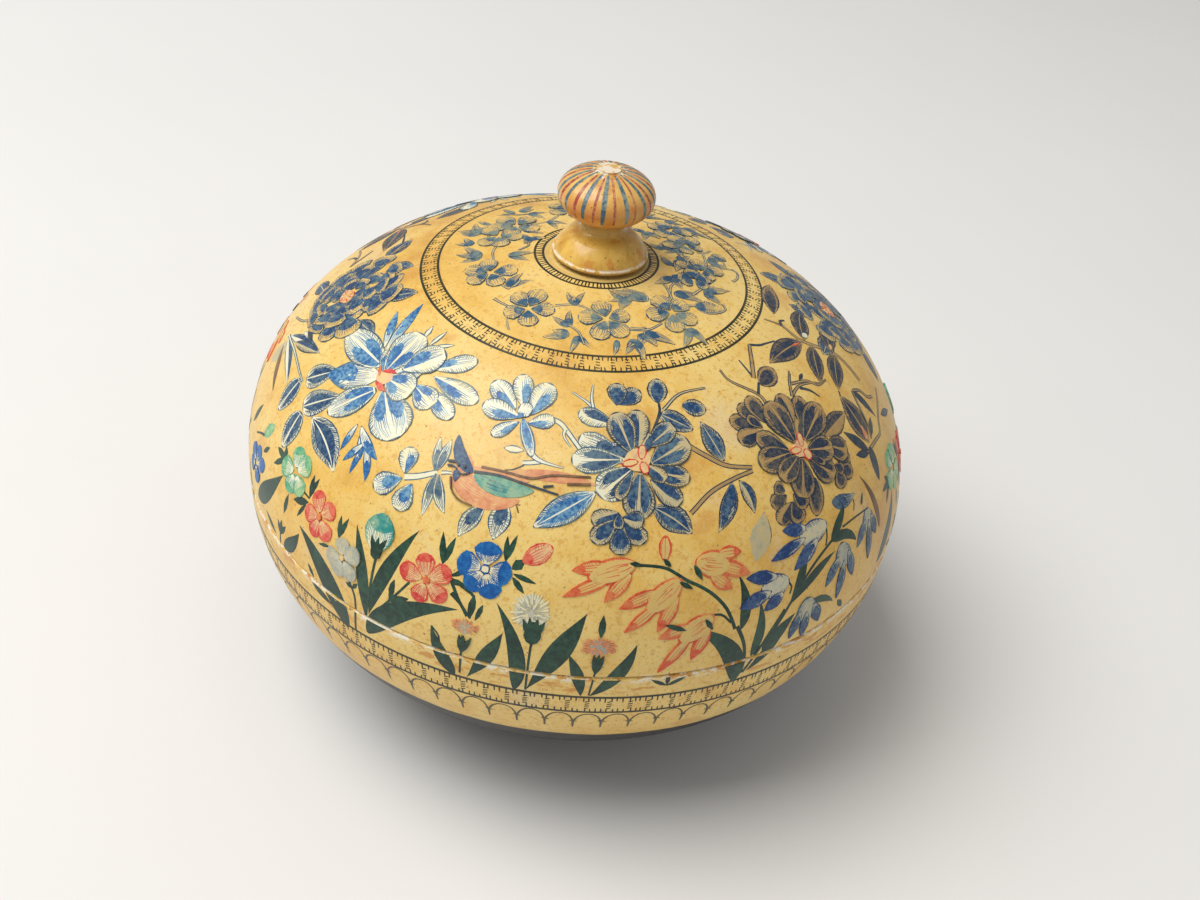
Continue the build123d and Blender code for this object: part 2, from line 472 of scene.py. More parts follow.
class Paint(Enum):
    """Paints of the decoration, each a film with its own pigment and what shows through."""

    LINE = PaintFilm("ink_green", (0.020, 0.024, 0.012), (0.16, 0.11, 0.035), 0.3)
    SLATE = PaintFilm("slate", (0.018, 0.040, 0.070), (0.16, 0.14, 0.08), 0.5)
    STEEL = PaintFilm("steel_blue", (0.022, 0.085, 0.165), (0.32, 0.36, 0.24), 0.6)
    CREAM = PaintFilm("cream_wash", (0.80, 0.80, 0.63), (0.80, 0.68, 0.36), 0.7)
    STONE = PaintFilm("stone_wash", (0.52, 0.46, 0.28), (0.62, 0.46, 0.19), 0.7)
    KHAKI = PaintFilm("khaki_wash", (0.42, 0.265, 0.105), (0.52, 0.34, 0.11), 0.6)
    COBALT = PaintFilm("cobalt", (0.012, 0.115, 0.33), (0.20, 0.40, 0.52), 0.9, 0.7)
    INDIGO = PaintFilm("indigo", (0.010, 0.048, 0.135), (0.12, 0.20, 0.25), 0.85, 0.7)
    NAVY = PaintFilm("navy", (0.014, 0.032, 0.070), (0.15, 0.125, 0.085), 0.75, 0.7)
    ULTRAMARINE = PaintFilm("ultramarine", (0.003, 0.085, 0.32), (0.02, 0.19, 0.46), 0.7, 0.9)
    ROYAL = PaintFilm("royal_blue", (0.006, 0.042, 0.165), (0.08, 0.15, 0.28), 0.8, 0.7)
    RED = PaintFilm("vermilion", (0.62, 0.035, 0.030), (0.76, 0.22, 0.12), 0.7, 0.9)
    ORANGE = PaintFilm("orange_red", (0.66, 0.085, 0.030), (0.76, 0.34, 0.12), 0.6)
    ROSE = PaintFilm("rose_wash", (0.76, 0.46, 0.24), (0.80, 0.58, 0.24), 0.8)
    SALMON = PaintFilm("salmon", (0.70, 0.26, 0.12), (0.78, 0.47, 0.20), 0.7)
    GREEN = PaintFilm("bottle_green", (0.008, 0.036, 0.024), (0.030, 0.095, 0.055), 0.8, 1.2)
    FERN = PaintFilm("fern_streak", (0.018, 0.100, 0.065), (0.010, 0.045, 0.030), 0.6)
    JADE = PaintFilm("jade", (0.060, 0.36, 0.20), (0.42, 0.58, 0.27), 0.8)
    TEAL = PaintFilm("teal", (0.030, 0.27, 0.25), (0.38, 0.52, 0.30), 0.7)
    GREY = PaintFilm("grey_wash", (0.38, 0.40, 0.34), (0.58, 0.50, 0.28), 0.8, 0.9)
    MIST = PaintFilm("mist_wash", (0.56, 0.56, 0.44), (0.72, 0.60, 0.31), 0.8, 0.9)
    BROWN = PaintFilm("umber", (0.14, 0.070, 0.035), (0.32, 0.18, 0.07), 0.6)
    BROWN_LINE = PaintFilm("umber_line", (0.060, 0.052, 0.024), (0.22, 0.16, 0.06), 0.5)
    SAND = PaintFilm("sand_wash", (0.72, 0.50, 0.17), (0.70, 0.44, 0.11), 0.6)
    STRIPE_BLUE = PaintFilm("stripe_blue", (0.060, 0.13, 0.165), (0.30, 0.34, 0.28), 0.9, 0.7)
    STRIPE_RED = PaintFilm("stripe_red", (0.36, 0.060, 0.040), (0.62, 0.30, 0.14), 0.9, 0.7)


# ---------------------------------------------------------------- the box's form


@dataclass(frozen=True)
class Spot:
    """A place on the form with its own level frame."""

    centre: Vector
    east: Vector
    rise: Vector


@dataclass
class BoxForm:
    """Outer form of lid and bowl: two rounded ovals that share the widest circle."""

    widest_radius: float
    widest_height: float = 51.0
    dome_rise: float = 50.0
    dome_fullness: float = 2.15
    bowl_drop: float = 52.5
    bowl_fullness: float = 2.2
    paint_room: float = 0.12
    table_steps: int = 900
    table: list[tuple[float, float, float]] = field(default_factory=list)

    def __post_init__(self) -> None:
        """Measures the way down the form from the crown, for places given by it."""
        way = 0.0
        last = None
        for step in range(2 * self.table_steps + 1):
            angle = pi / 2 - step * pi / 2 / self.table_steps
            radius, height = self.at(angle)
            if last:
                way += hypot(radius - last[0], height - last[1])
            last = (radius, height)
            self.table.append((way, radius, height))

    def at(self, angle: float) -> tuple[float, float]:
        """Radius and height at an angle, from a right angle at the crown to minus that below."""
        rise, power = self._side(angle)
        across = abs(cos(angle)) ** (2 / power)
        along = abs(sin(angle)) ** (2 / power)
        return self.widest_radius * across, self.widest_height + (along if angle > 0 else -along) * rise

    def _side(self, up: float) -> tuple[float, float]:
        """Rise and fullness of the oval on one side of the widest circle."""
        if up >= 0:
            return self.dome_rise, self.dome_fullness
        return self.bowl_drop, self.bowl_fullness

    def height_over(self, radius: float) -> float:
        """Height of the dome at a distance from the axis."""
        share = (radius / self.widest_radius) ** self.dome_fullness
        return self.widest_height + self.dome_rise * (1 - share) ** (1 / self.dome_fullness)

    def radius_beside(self, height: float) -> float:
        """Distance of the form from the axis at a height."""
        rise, power = self._side(height - self.widest_height)
        share = (abs(height - self.widest_height) / rise) ** power
        return self.widest_radius * (1 - share) ** (1 / power)

    def spot(self, azimuth: float, way: float) -> Spot:
        """Place on the form.

        Args:
            azimuth: Degrees round the axis from the front, to the right of a viewer there.
            way: Distance from the crown, along the form.

        Returns:
            The place, with its east and its way up.
        """
        after = next(row for row in self.table if row[0] >= way)
        turn = radians(azimuth)
        centre = Vector((after[1] * sin(turn), -after[1] * cos(turn), after[2]))
        east = Vector((cos(turn), sin(turn), 0))
        return Spot(centre, east, self.outward(centre).cross(east))

    def outward(self, point: Vector) -> Vector:
        """Outward direction of the form at a point on it."""
        up = point.z - self.widest_height
        rise, power = self._side(up)
        radius = max(hypot(point.x, point.y), 1e-6)
        across = (radius / self.widest_radius) ** (power - 1) / self.widest_radius
        along = (abs(up) / rise) ** (power - 1) / rise
        return Vector((point.x / radius * across, point.y / radius * across, along if up > 0 else -along)).normalized()

    def angle_over(self, radius: float) -> float:
        """Angle of the dome at a distance from the axis."""
        return acos((radius / self.widest_radius) ** (self.dome_fullness / 2))

    def angle_beside(self, height: float) -> float:
        """Angle of the form at a height."""
        up = height - self.widest_height
        rise, power = self._side(up)
        angle = asin((abs(up) / rise) ** (power / 2))
        return angle if up > 0 else -angle

    def share(self, point: Vector) -> float:
        """How far a point lies from the form's middle, with 1 on the form."""
        up = point.z - self.widest_height
        rise, power = self._side(up)
        across = hypot(point.x, point.y) / self.widest_radius
        return (across ** power + (abs(up) / rise) ** power) ** (1 / power)

    def lay(self, point: Vector, lift: float) -> Vector:
        """Point over the lacquered ground at a point of the form, in metres."""
        return (point + self.outward(point) * (lift - self.paint_room)) * MM

    def press(self, point: Vector, lift: float) -> Vector:
        """Brings a point to the form along the line to the form's middle.

        Args:
            point: A point near the form.
            lift: Height over the lacquered ground.

        Returns:
            The point on the form, in metres.
        """
        middle = Vector((0, 0, self.widest_height))
        return self.lay(middle + (point - middle) / self.share(point), lift)


# ---------------------------------------------------------------- brush work


class Body(Enum):
    """Bodies that painted pieces ride on."""

    LID = "lid"
    BOWL = "bowl"


class Zone(Enum):
    """Parts of the decoration, each made as its own pieces."""

    CROWN = "crown"
    SHOULDER = "shoulder"
    SHOULDER_BACK = "shoulder_back"
    GARDEN = "garden"
    GARDEN_BACK = "garden_back"
    BAND = "band"
    KNOB = "knob"


@dataclass
class PaintStore:
    """Finished films of paint, sorted by body, zone and paint, until they become pieces."""

    films: dict[tuple[Body, Zone, Paint], list[bpy.types.Mesh]] = field(default_factory=dict)

    def keep(self, body: Body, zone: Zone, paint: Paint, film: bmesh.types.BMesh) -> None:
        """Stores a film.

        Args:
            body: The body that it rides on.
            zone: Its part of the decoration.
            paint: The paint.
            film: Closed films, in metres. They are used up.
        """
        mesh = bpy.data.meshes.new("film")
        film.to_mesh(mesh)
        film.free()
        self.films.setdefault((body, zone, paint), []).append(mesh)

    def pieces(self) -> Iterable[bpy.types.Object]:
        """Joins the films of each body, zone and paint to one piece, in a fixed order."""
        finishes = {paint: paint.value.material() for paint in Paint}
        for body in Body:
            for zone in Zone:
                for paint in Paint:
                    films = self.films.get((body, zone, paint))
                    if not films:
                        continue
                    joined = bmesh.new()
                    for mesh in films:
                        joined.from_mesh(mesh)
                        bpy.data.meshes.remove(mesh)
                    piece = finished(f"{body.value}_{zone.value}_{paint.value.name}", joined)
                    piece.data.materials.append(finishes[paint])
                    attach(piece, body.value)
                    yield piece


def finished(name: str, shape: bmesh.types.BMesh, sharp_over: float = 35.0) -> bpy.types.Object:
    """Makes an object of a finished shape, smooth but for its sharp edges.

    Args:
        name: The piece's name.
        shape: Its mesh in metres. It is used up.
        sharp_over: Angle in degrees over which an edge stays sharp.

    Returns:
        The object, linked to the scene.
    """
    mesh = bpy.data.meshes.new(name)
    shape.to_mesh(mesh)
    shape.free()
    mesh.shade_smooth()
    mesh.set_sharp_from_angle(angle=radians(sharp_over))
    piece = bpy.data.objects.new(name, mesh)
    bpy.context.scene.collection.objects.link(piece)
    return piece


def curve_at(points: Sequence[Point], share: float) -> Point:
    """Point of a smooth line through given points.

    Args:
        points: Two or more points of the line.
        share: From 0 at the first to 1 at the last.

    Returns:
        The point.
    """
    place = min(max(share, 0.0), 1.0) * (len(points) - 1)
    start = min(int(place), len(points) - 2)
    part = place - start
    here, ahead = points[start], points[start + 1]
    before = points[start - 1] if start else (2 * here[0] - ahead[0], 2 * here[1] - ahead[1])
    last = start + 2 == len(points)
    after = (2 * ahead[0] - here[0], 2 * ahead[1] - here[1]) if last else points[start + 2]
    found = [
        0.5 * (
            2 * p1 + (p2 - p0) * part
            + (2 * p0 - 5 * p1 + 4 * p2 - p3) * part ** 2
            + (3 * p1 - p0 - 3 * p2 + p3) * part ** 3
        )
        for p0, p1, p2, p3 in zip(before, here, ahead, after)
    ]
    return found[0], found[1]


class Form(Enum):
    """Leaf and petal outlines: where the widest place is and how full the ends are."""

    ROUND = (1.5, 0.56)
    OVAL = (1.05, 0.58)
    EGG = (0.80, 0.62)
    POINTED = (0.95, 0.90)
    LEAF = (0.92, 1.0)
    BLADE = (0.68, 0.95)
    FLAME = (0.60, 0.80)
    SWORD = (1.15, 1.20)


@dataclass(frozen=True)
class Outline:
    """Leaf-shaped area between a base and a tip."""

    base: Point
    tip: Point
    width: float
    form: Form
    bend: float = 0.0

    @property
    def length(self) -> float:
        """Distance from base to tip."""
        return hypot(self.tip[0] - self.base[0], self.tip[1] - self.base[1])

    def half_width(self, along: float) -> float:
        """Half the width at a share of the length."""
        shift, fullness = self.form.value
        return self.width / 2 * max(sin(pi * min(max(along, 0.0), 1.0) ** shift), 0.0) ** fullness

    def at(self, along: float, across: float) -> Point:
        """Point of the area.

        Args:
            along: 0 at the base, 1 at the tip.
            across: -1 at the left edge, looking to the tip, to 1 at the right.

        Returns:
            The point.
        """
        run_x, run_y = self.tip[0] - self.base[0], self.tip[1] - self.base[1]
        sag = 4 * self.bend * along * (1 - along)
        slope = 4 * self.bend * (1 - 2 * along)
        middle_x = self.base[0] + run_x * along - run_y * sag
        middle_y = self.base[1] + run_y * along + run_x * sag
        head_x, head_y = run_x - run_y * slope, run_y + run_x * slope
        stretch = hypot(head_x, head_y) or 1.0
        side = self.half_width(along) * across
        return middle_x + head_y / stretch * side, middle_y - head_x / stretch * side


class Shade(Enum):
    """How a petal's dark colour lies on its pale wash."""

    BOTH = "two lobes from the base with a bare rib between"
    LEFT = "one lobe left of the middle"
    RIGHT = "one lobe right of the middle"
    CORE = "one lobe down the middle"
    WHOLE = "one lobe over the full width"
    TIP = "from the tip back to the base"
    VEINED = "along both sides of a bare midrib"
    HALF = "along the left side of a bare midrib"
    NONE = "no dark colour"


@dataclass(frozen=True)
class Palette:
    """Paints of one flower or leaf, reach of the dark, width of outline and depth of hatching."""

    wash: Paint
    shade: Paint
    line: Paint
    reach: float = 0.60
    outline: float = 0.33
    hatching: float = 1.0


@dataclass(frozen=True)
class Petal:
    """A petal or leaf: a pale wash in a dark outline with a fringed dark patch."""

    base: Point
    tip: Point
    width: float
    shade: Shade = Shade.BOTH
    form: Form = Form.ROUND
    bend: float = 0.0
    reach: float | None = None


@dataclass(frozen=True)
class Blade:
    """A leaf or bud in one solid paint, with streaks in another."""

    base: Point
    tip: Point
    width: float
    paint: Paint = Paint.GREEN
    form: Form = Form.BLADE
    bend: float = 0.0
    streak: Paint | None = None


@dataclass(frozen=True)
class Stem:
    """A brush line through points, or a pale line with dark edges where a wash is given."""

    points: tuple[Point, ...]
    width: float
    paint: Paint = Paint.GREEN
    wash: Paint | None = None
    end: float = 0.35


Shape = Petal | Blade | Stem


@dataclass(frozen=True)
class Layer:
    """Shapes painted together, over the layers before."""

    palette: Palette
    shapes: tuple[Shape, ...]
    steps: int = 4


@dataclass(frozen=True)
class Motif:
    """A flower, spray or clump, painted layer by layer."""

    name: str
    zone: Zone
    layers: tuple[Layer, ...]


@dataclass
class Canvas:
    """A flat page laid on the box, on which shapes are painted one by one."""

    form: BoxForm
    store: PaintStore
    zone: Zone
    seed: int
    lift: float = 0.014
    coat: float = 0.008
    cells: float = 1.3
    fringe_pitch: float = 0.34
    fringe_width: float = 0.18
    hatch_pitch: float = 0.40
    hatched_from: float = 3.0
    line_width: float = 0.23
    full_sheet: int = 1100
    rooted: float = 0.03
    above_seam: float = 50.65
    below_seam: float = 49.65

    def __post_init__(self) -> None:
        """Starts the chance of the brush and an empty set of sheets."""
        self.chance = Random(self.seed)
        self.sheets: dict[Paint, bmesh.types.BMesh] = {}

    def place(self, point: Point, lift: float) -> Vector:
        """Point of the page on the box, in metres."""
        raise NotImplementedError

    def outward(self, point: Vector) -> Vector:
        """Outward direction at a point of the ground."""
        return self.form.outward(point)

    def thicken(self, sheet: bmesh.types.BMesh) -> None:
        """Gives open sheets their thickness, down into the ground."""
        lifts = sheet.verts.layers.float["lift"]
        made = bmesh.ops.extrude_face_region(sheet, geom=sheet.faces[:])["geom"]
        for vert in made:
            if isinstance(vert, bmesh.types.BMVert):
                vert.co -= self.outward(vert.co / MM) * ((vert[lifts] + self.rooted) * MM)
        bmesh.ops.recalc_face_normals(sheet, faces=sheet.faces)

    def store_side(self, body: Body, paint: Paint, sheet: bmesh.types.BMesh) -> None:
        """Thickens and stores sheets that lie on one body."""
        if sheet.faces:
            self.thicken(sheet)
            self.store.keep(body, self.zone, paint, sheet)

    def store_split(self, paint: Paint, sheet: bmesh.types.BMesh) -> None:
        """Stores sheets that may cross the seam, cut clear of it on both sides."""
        heights = [vert.co.z / MM for vert in sheet.verts]
        if min(heights) < self.below_seam:
            lower = sheet.copy()
            self.cut(lower, self.below_seam, keep_above=False)
            self.store_side(Body.BOWL, paint, lower)
        self.cut(sheet, self.above_seam, keep_above=True)
        self.store_side(Body.LID, paint, sheet)

    def cut(self, sheet: bmesh.types.BMesh, height: float, keep_above: bool) -> None:
        """Cuts sheets level at a height and drops one side."""
        bmesh.ops.bisect_plane(
            sheet,
            geom=[*sheet.verts, *sheet.edges, *sheet.faces],
            plane_co=(0, 0, height * MM),
            plane_no=(0, 0, 1),
            clear_inner=keep_above,
            clear_outer=not keep_above,
        )

    def open_sheet(self, paint: Paint) -> bmesh.types.BMesh:
        """Sheet that takes more paint. A full one goes to the store first."""
        sheet = self.sheets.get(paint)
        if sheet is not None and len(sheet.verts) > self.full_sheet:
            self.store_split(paint, sheet)
            sheet = None
        if sheet is None:
            sheet = bmesh.new()
            sheet.verts.layers.float.new("lift")
            self.sheets[paint] = sheet
        return sheet

    def brush(
        self, paint: Paint, across: int, along: int, shape: Callable[[float, float], Point], lift: float
    ) -> None:
        """Lays one patch of paint.

        Args:
            paint: The paint.
            across: Cells across it.
            along: Cells along it.
            shape: Point of the page for shares along and across, each from 0 to 1.
            lift: Height over the ground.
        """
        sheet = self.open_sheet(paint)
        lifts = sheet.verts.layers.float["lift"]
        grid = bmesh.ops.create_grid(sheet, x_segments=across, y_segments=along, size=0.5)
        for vert in grid["verts"]:
            vert.co = self.place(shape(vert.co.y + 0.5, vert.co.x + 0.5), lift)
            vert[lifts] = lift

    def fill(self, paint: Paint, area: Outline, lift: float, trim: float = 0.0) -> None:
        """Fills an outline with paint.

        Args:
            paint: The paint.
            area: The outline.
            lift: Height over the ground.
            trim: Distance to stay inside the outline.
        """
        if area.width <= 2 * trim + 0.1:
            return
        narrow = 1 - 2 * trim / area.width
        shorten = min(trim / max(area.length, 0.1), 0.3)
        along = max(4, ceil(area.length / self.cells) + 1)
        across = 2 if area.width < 3.2 else 4

        def shape(far: float, wide: float) -> Point:
            eased = shorten + (1 - 2 * shorten) * (0.5 - 0.5 * cos(pi * far))
            return area.at(0.004 + 0.992 * eased, (2 * wide - 1) * narrow)

        self.brush(paint, across, along, shape, lift)

    def stroke(
        self, paint: Paint, points: Sequence[Point], start: float, end: float, lift: float,
        belly: float | None = None, cells: int = 0,
    ) -> None:
        """Draws a brush line.

        Args:
            paint: The paint.
            points: Points that it goes through.
            start: Width where it starts.
            end: Width where it ends.
            lift: Height over the ground.
            belly: Width half way, or None for an even taper.
            cells: Cells along it, or 0 to follow its length.
        """
        length = sum(hypot(b[0] - a[0], b[1] - a[1]) for a, b in zip(points, points[1:]))
        along = cells or max(len(points), ceil(length / self.cells) + 1)
        middle = (start + end) / 2 if belly is None else belly

        def shape(far: float, wide: float) -> Point:
            here = curve_at(points, far)
            ahead = curve_at(points, min(far + 0.03, 1.0))
            behind = curve_at(points, max(far - 0.03, 0.0))
            run_x, run_y = ahead[0] - behind[0], ahead[1] - behind[1]
            size = hypot(run_x, run_y) or 1.0
            back = 1 - far
            thick = start * back ** 2 + 2 * far * back * (2 * middle - (start + end) / 2) + end * far ** 2
            side = (wide - 0.5) * max(thick, 0.05)
            return here[0] + run_y / size * side, here[1] - run_x / size * side

        self.brush(paint, 1, along, shape, lift)

    def fringe(
        self, paint: Paint, area: Outline, lines: Iterable[tuple[Point, Point]], lift: float
    ) -> None:
        """Draws fine tapering lines inside an outline.

        Args:
            paint: The paint.
            area: The outline.
            lines: Each line's first and last place, as shares along and across.
            lift: Height over the ground.
        """
        for first, last in lines:
            bow = self.chance.uniform(-0.03, 0.03)
            middle = ((first[0] + last[0]) / 2, (first[1] + last[1]) / 2 + bow)
            points = [area.at(*place) for place in (first, middle, last)]
            width = self.fringe_width * self.chance.uniform(0.8, 1.25)
            self.stroke(paint, points, width, 0.06, lift, cells=2)

    def lobe(
        self, paint: Paint, area: Outline, sides: Point, span: Point, lift: float, finish: float = 0.93
    ) -> None:
        """Paints a solid patch in a petal and the fine lines that run on from its end.

        Args:
            paint: The paint.
            area: The petal.
            sides: Where the patch lies across the petal.
            span: Where it starts and ends along the petal.
            lift: Height over the ground.
            finish: Where the fine lines end along the petal.
        """
        first, last = span
        low, high = sides

        def edge(wide: float) -> float:
            return first + (last - first) * (1 - 0.32 * (2 * wide - 1) ** 2)

        def shape(far: float, wide: float) -> Point:
            return area.at(first + (edge(wide) - first) * far, low + (high - low) * wide)

        self.brush(paint, 3, max(3, ceil(abs(last - first) * area.length / self.cells)), shape, lift)
        width = (high - low) * area.half_width((first + last) / 2)
        count = max(3, round(width / self.fringe_pitch))
        lines = []
        for number in range(count):
            wide = (number + self.chance.uniform(0.3, 0.7)) / count
            across = low + (high - low) * wide
            root = edge(wide) - 0.10 * (last - first)
            stop = root + (finish - root) * self.chance.uniform(0.55, 1.0)
            lines.append(((root, across), (stop, across * 1.02)))
        self.fringe(paint, area, lines, lift + self.coat)

    def hatch(self, palette: Palette, area: Outline, lift: float) -> None:
        """Draws short fine lines inwards from a petal's edge.

        Args:
            palette: The petal's paints.
            area: The petal.
            lift: Height over the ground.
        """
        if area.width < self.hatched_from:
            return
        depth = palette.hatching / (area.width / 2)
        count = round(area.length * 0.7 / self.hatch_pitch)
        lines = []
        for side in (-1, 1):
            for number in range(count):
                along = 0.24 + 0.70 * (number + self.chance.uniform(0.2, 0.8)) / count
                inner = max(0.93 - depth * self.chance.uniform(0.7, 1.3), 0.3)
                lines.append(((along, side * 0.93), (along - 0.05, side * inner)))
        self.fringe(palette.line, area, lines, lift)

    def side_lobe(self, paint: Paint, area: Outline, side: float, lift: float) -> None:
        """Paints a leaf's dark half along its rib, with fine lines out to its edge.

        Args:
            paint: The paint.
            area: The leaf.
            side: -1 for the left half, 1 for the right.
            lift: Height over the ground.
        """
        def shape(far: float, wide: float) -> Point:
            return area.at(0.05 + 0.88 * far, side * (0.06 + 0.60 * wide * sin(pi * (0.08 + 0.84 * far))))

        self.brush(paint, 2, max(4, ceil(area.length / self.cells)), shape, lift)
        count = max(4, round(area.length * 0.8 / self.fringe_pitch))
        lines = []
        for number in range(count):
            along = 0.08 + 0.78 * (number + self.chance.uniform(0.3, 0.7)) / count
            lines.append(((along, side * 0.50), (along + 0.08, side * self.chance.uniform(0.76, 0.93))))
        self.fringe(paint, area, lines, lift + self.coat)

    def petal(self, petal: Petal, palette: Palette, lift: float) -> None:
        """Paints a petal or leaf.

        Args:
            petal: The petal.
            palette: Its paints.
            lift: Height of its lowest film over the ground.
        """
        area = Outline(petal.base, petal.tip, petal.width, petal.form, petal.bend)
        self.fill(palette.line, area, lift)
        self.fill(palette.wash, area, lift + self.coat, palette.outline)
        dark = lift + 2 * self.coat
        self.hatch(palette, area, dark)
        paint = palette.shade
        reach = petal.reach or palette.reach
        match petal.shade:
            case Shade.BOTH:
                self.lobe(paint, area, (-0.77, -0.07), (0.06, reach + 0.06), dark)
                self.lobe(paint, area, (0.09, 0.75), (0.06, reach), dark)
            case Shade.LEFT:
                self.lobe(paint, area, (-0.78, 0.14), (0.05, reach + 0.10), dark)
            case Shade.RIGHT:
                self.lobe(paint, area, (-0.14, 0.78), (0.05, reach + 0.10), dark)
            case Shade.CORE:
                self.lobe(paint, area, (-0.62, 0.62), (0.04, reach + 0.04), dark)
            case Shade.WHOLE:
                self.lobe(paint, area, (-0.78, 0.78), (0.05, reach), dark)
            case Shade.TIP:
                self.lobe(paint, area, (-0.92, 0.92), (0.985, 1 - reach), dark, 0.12)
            case Shade.VEINED:
                self.side_lobe(paint, area, -1, dark)
                self.side_lobe(paint, area, 1, dark)
            case Shade.HALF:
                self.side_lobe(paint, area, -1, dark)

    def blade(self, blade: Blade, lift: float) -> None:
        """Paints a solid leaf with its streaks.

        Args:
            blade: The leaf.
            lift: Height of its lowest film over the ground.
        """
        area = Outline(blade.base, blade.tip, blade.width, blade.form, blade.bend)
        self.fill(blade.paint, area, lift)
        if blade.streak is None:
            return
        count = max(2, round(blade.width / 0.8))
        lines = []
        for number in range(count):
            across = -0.7 + 1.4 * (number + self.chance.uniform(0.2, 0.8)) / count
            start = self.chance.uniform(0.08, 0.45)
            lines.append(((start, across), (start + self.chance.uniform(0.3, 0.5), across * 0.8)))
        self.fringe(blade.streak, area, lines, lift + self.coat)

    def stem(self, stem: Stem, lift: float) -> None:
        """Paints a stem or tendril.

        Args:
            stem: The stem.
            lift: Height of its lowest film over the ground.
        """
        self.stroke(stem.paint, stem.points, stem.width, stem.end, lift)
        if stem.wash is not None:
            inner = max(stem.width - 2 * self.line_width, 0.2)
            end = max(stem.end - 2 * self.line_width, 0.12)
            self.stroke(stem.wash, stem.points, inner, end, lift + self.coat)

    def paint(self, motif: Motif) -> None:
        """Paints a motif, each layer over the ones before, and hands it to the store.

        Args:
            motif: The motif.
        """
        below = 0
        for layer in motif.layers:
            for number, shape in enumerate(layer.shapes):
                lift = self.lift + (below + number % layer.steps) * 4 * self.coat
                if isinstance(shape, Petal):
                    self.petal(shape, layer.palette, lift)
                elif isinstance(shape, Blade):
                    self.blade(shape, lift)
                else:
                    self.stem(shape, lift)
            below += min(len(layer.shapes), layer.steps)
        self.dry()

    def dry(self) -> None:
        """Hands the sheets to the store."""
        for paint, sheet in self.sheets.items():
            self.store_split(paint, sheet)
        self.sheets = {}

    def ring_point(self, distance: float, turn: float) -> Point:
        """Point of the page for a ring's distance and angle."""
        return distance * sin(turn), -distance * cos(turn)

    def hoop(self, paint: Paint, inner: float, outer: float, steps: int = 240) -> None:
        """Paints a closed ring.

        Args:
            paint: The paint.
            inner: Its inner distance, or lower height.
            outer: Its outer distance, or upper height.
            steps: Cells round it.
        """
        ring = bmesh.new()
        lifts = ring.verts.layers.float.new("lift")
        ends = [ring.verts.new((distance, 0, 0)) for distance in (inner, outer)]
        edge = ring.edges.new(ends)
        bmesh.ops.spin(
            ring, geom=[*ends, edge], axis=(0, 0, 1), cent=(0, 0, 0), angle=2 * pi,
            steps=steps, use_merge=True,
        )
        for vert in ring.verts:
            distance = hypot(vert.co.x, vert.co.y)
            vert.co = self.place(self.ring_point(distance, atan2(vert.co.y, vert.co.x)), self.lift)
            vert[lifts] = self.lift
        self.store_split(paint, ring)


@dataclass
class SpotCanvas(Canvas):
    """Page that touches the box at one spot and is pressed on around it."""

    azimuth: float = 0.0
    way: float = 0.0
    turn: float = 0.0
    mirror: bool = False
    scale: float = 1.0

    def __post_init__(self) -> None:
        """Finds the spot and its directions."""
        super().__post_init__()
        spot = self.form.spot(self.azimuth, self.way)
        lean = radians(self.turn)
        side = -self.scale if self.mirror else self.scale
        self.centre = spot.centre
        self.right = (spot.east * cos(lean) + spot.rise * sin(lean)) * side
        self.up = (spot.rise * cos(lean) - spot.east * sin(lean)) * self.scale

    def place(self, point: Point, lift: float) -> Vector:
        """Point of the page on the box, in metres."""
        return self.form.press(self.centre + self.right * point[0] + self.up * point[1], lift)


@dataclass
class CrownCanvas(Canvas):
    """Level page over the crown, with its middle where the painter set the compass."""

    middle: Point = (0.0, 0.0)

    def place(self, point: Point, lift: float) -> Vector:
        """Point of the page on the box, in metres."""
        x, y = point[0] + self.middle[0], point[1] + self.middle[1]
        return self.form.lay(Vector((x, y, self.form.height_over(hypot(x, y)))), lift)


@dataclass
class GirdleCanvas(Canvas):
    """Page wound round the widest part: lengths run round the box, heights go up."""

    def place(self, point: Point, lift: float) -> Vector:
        """Point of the page on the box, in metres."""
        turn = point[0] / self.form.widest_radius
        radius = self.form.radius_beside(point[1])
        return self.form.lay(Vector((radius * sin(turn), -radius * cos(turn), point[1])), lift)

    def ring_point(self, distance: float, turn: float) -> Point:
        """Point of the page for a ring's height and angle."""
        return turn * self.form.widest_radius, distance


# ---------------------------------------------------------------- motifs

BRIGHT = Palette(Paint.CREAM, Paint.COBALT, Paint.STEEL)
MIXED = Palette(Paint.STONE, Paint.INDIGO, Paint.SLATE, 0.80, 0.33, 0.8)
FULL = Palette(Paint.SAND, Paint.INDIGO, Paint.STEEL)
MIXED_BRIGHT = Palette(Paint.CREAM, Paint.INDIGO, Paint.STEEL, 0.76, 0.33, 1.2)
SANDY = Palette(Paint.SAND, Paint.STEEL, Paint.STEEL, 0.50, 0.22)
DUSKY = Palette(Paint.KHAKI, Paint.NAVY, Paint.SLATE, 0.80, 0.30, 0.55)
BARE = Palette(Paint.CREAM, Paint.STEEL, Paint.STEEL)
SKY = Palette(Paint.CREAM, Paint.ULTRAMARINE, Paint.ULTRAMARINE)
BELL = Palette(Paint.MIST, Paint.ROYAL, Paint.ROYAL)
DULL_BELL = Palette(Paint.GREY, Paint.INDIGO, Paint.INDIGO)
SCARLET = Palette(Paint.ROSE, Paint.RED, Paint.RED, 0.40)
COLUMBINE = Palette(Paint.SAND, Paint.ORANGE, Paint.ORANGE, outline=0.45)
HEART = Palette(Paint.ROSE, Paint.ORANGE, Paint.RED)
JADE_BLOOM = Palette(Paint.CREAM, Paint.JADE, Paint.JADE, 0.42)
PEARL = Palette(Paint.MIST, Paint.GREY, Paint.GREY, 0.40)


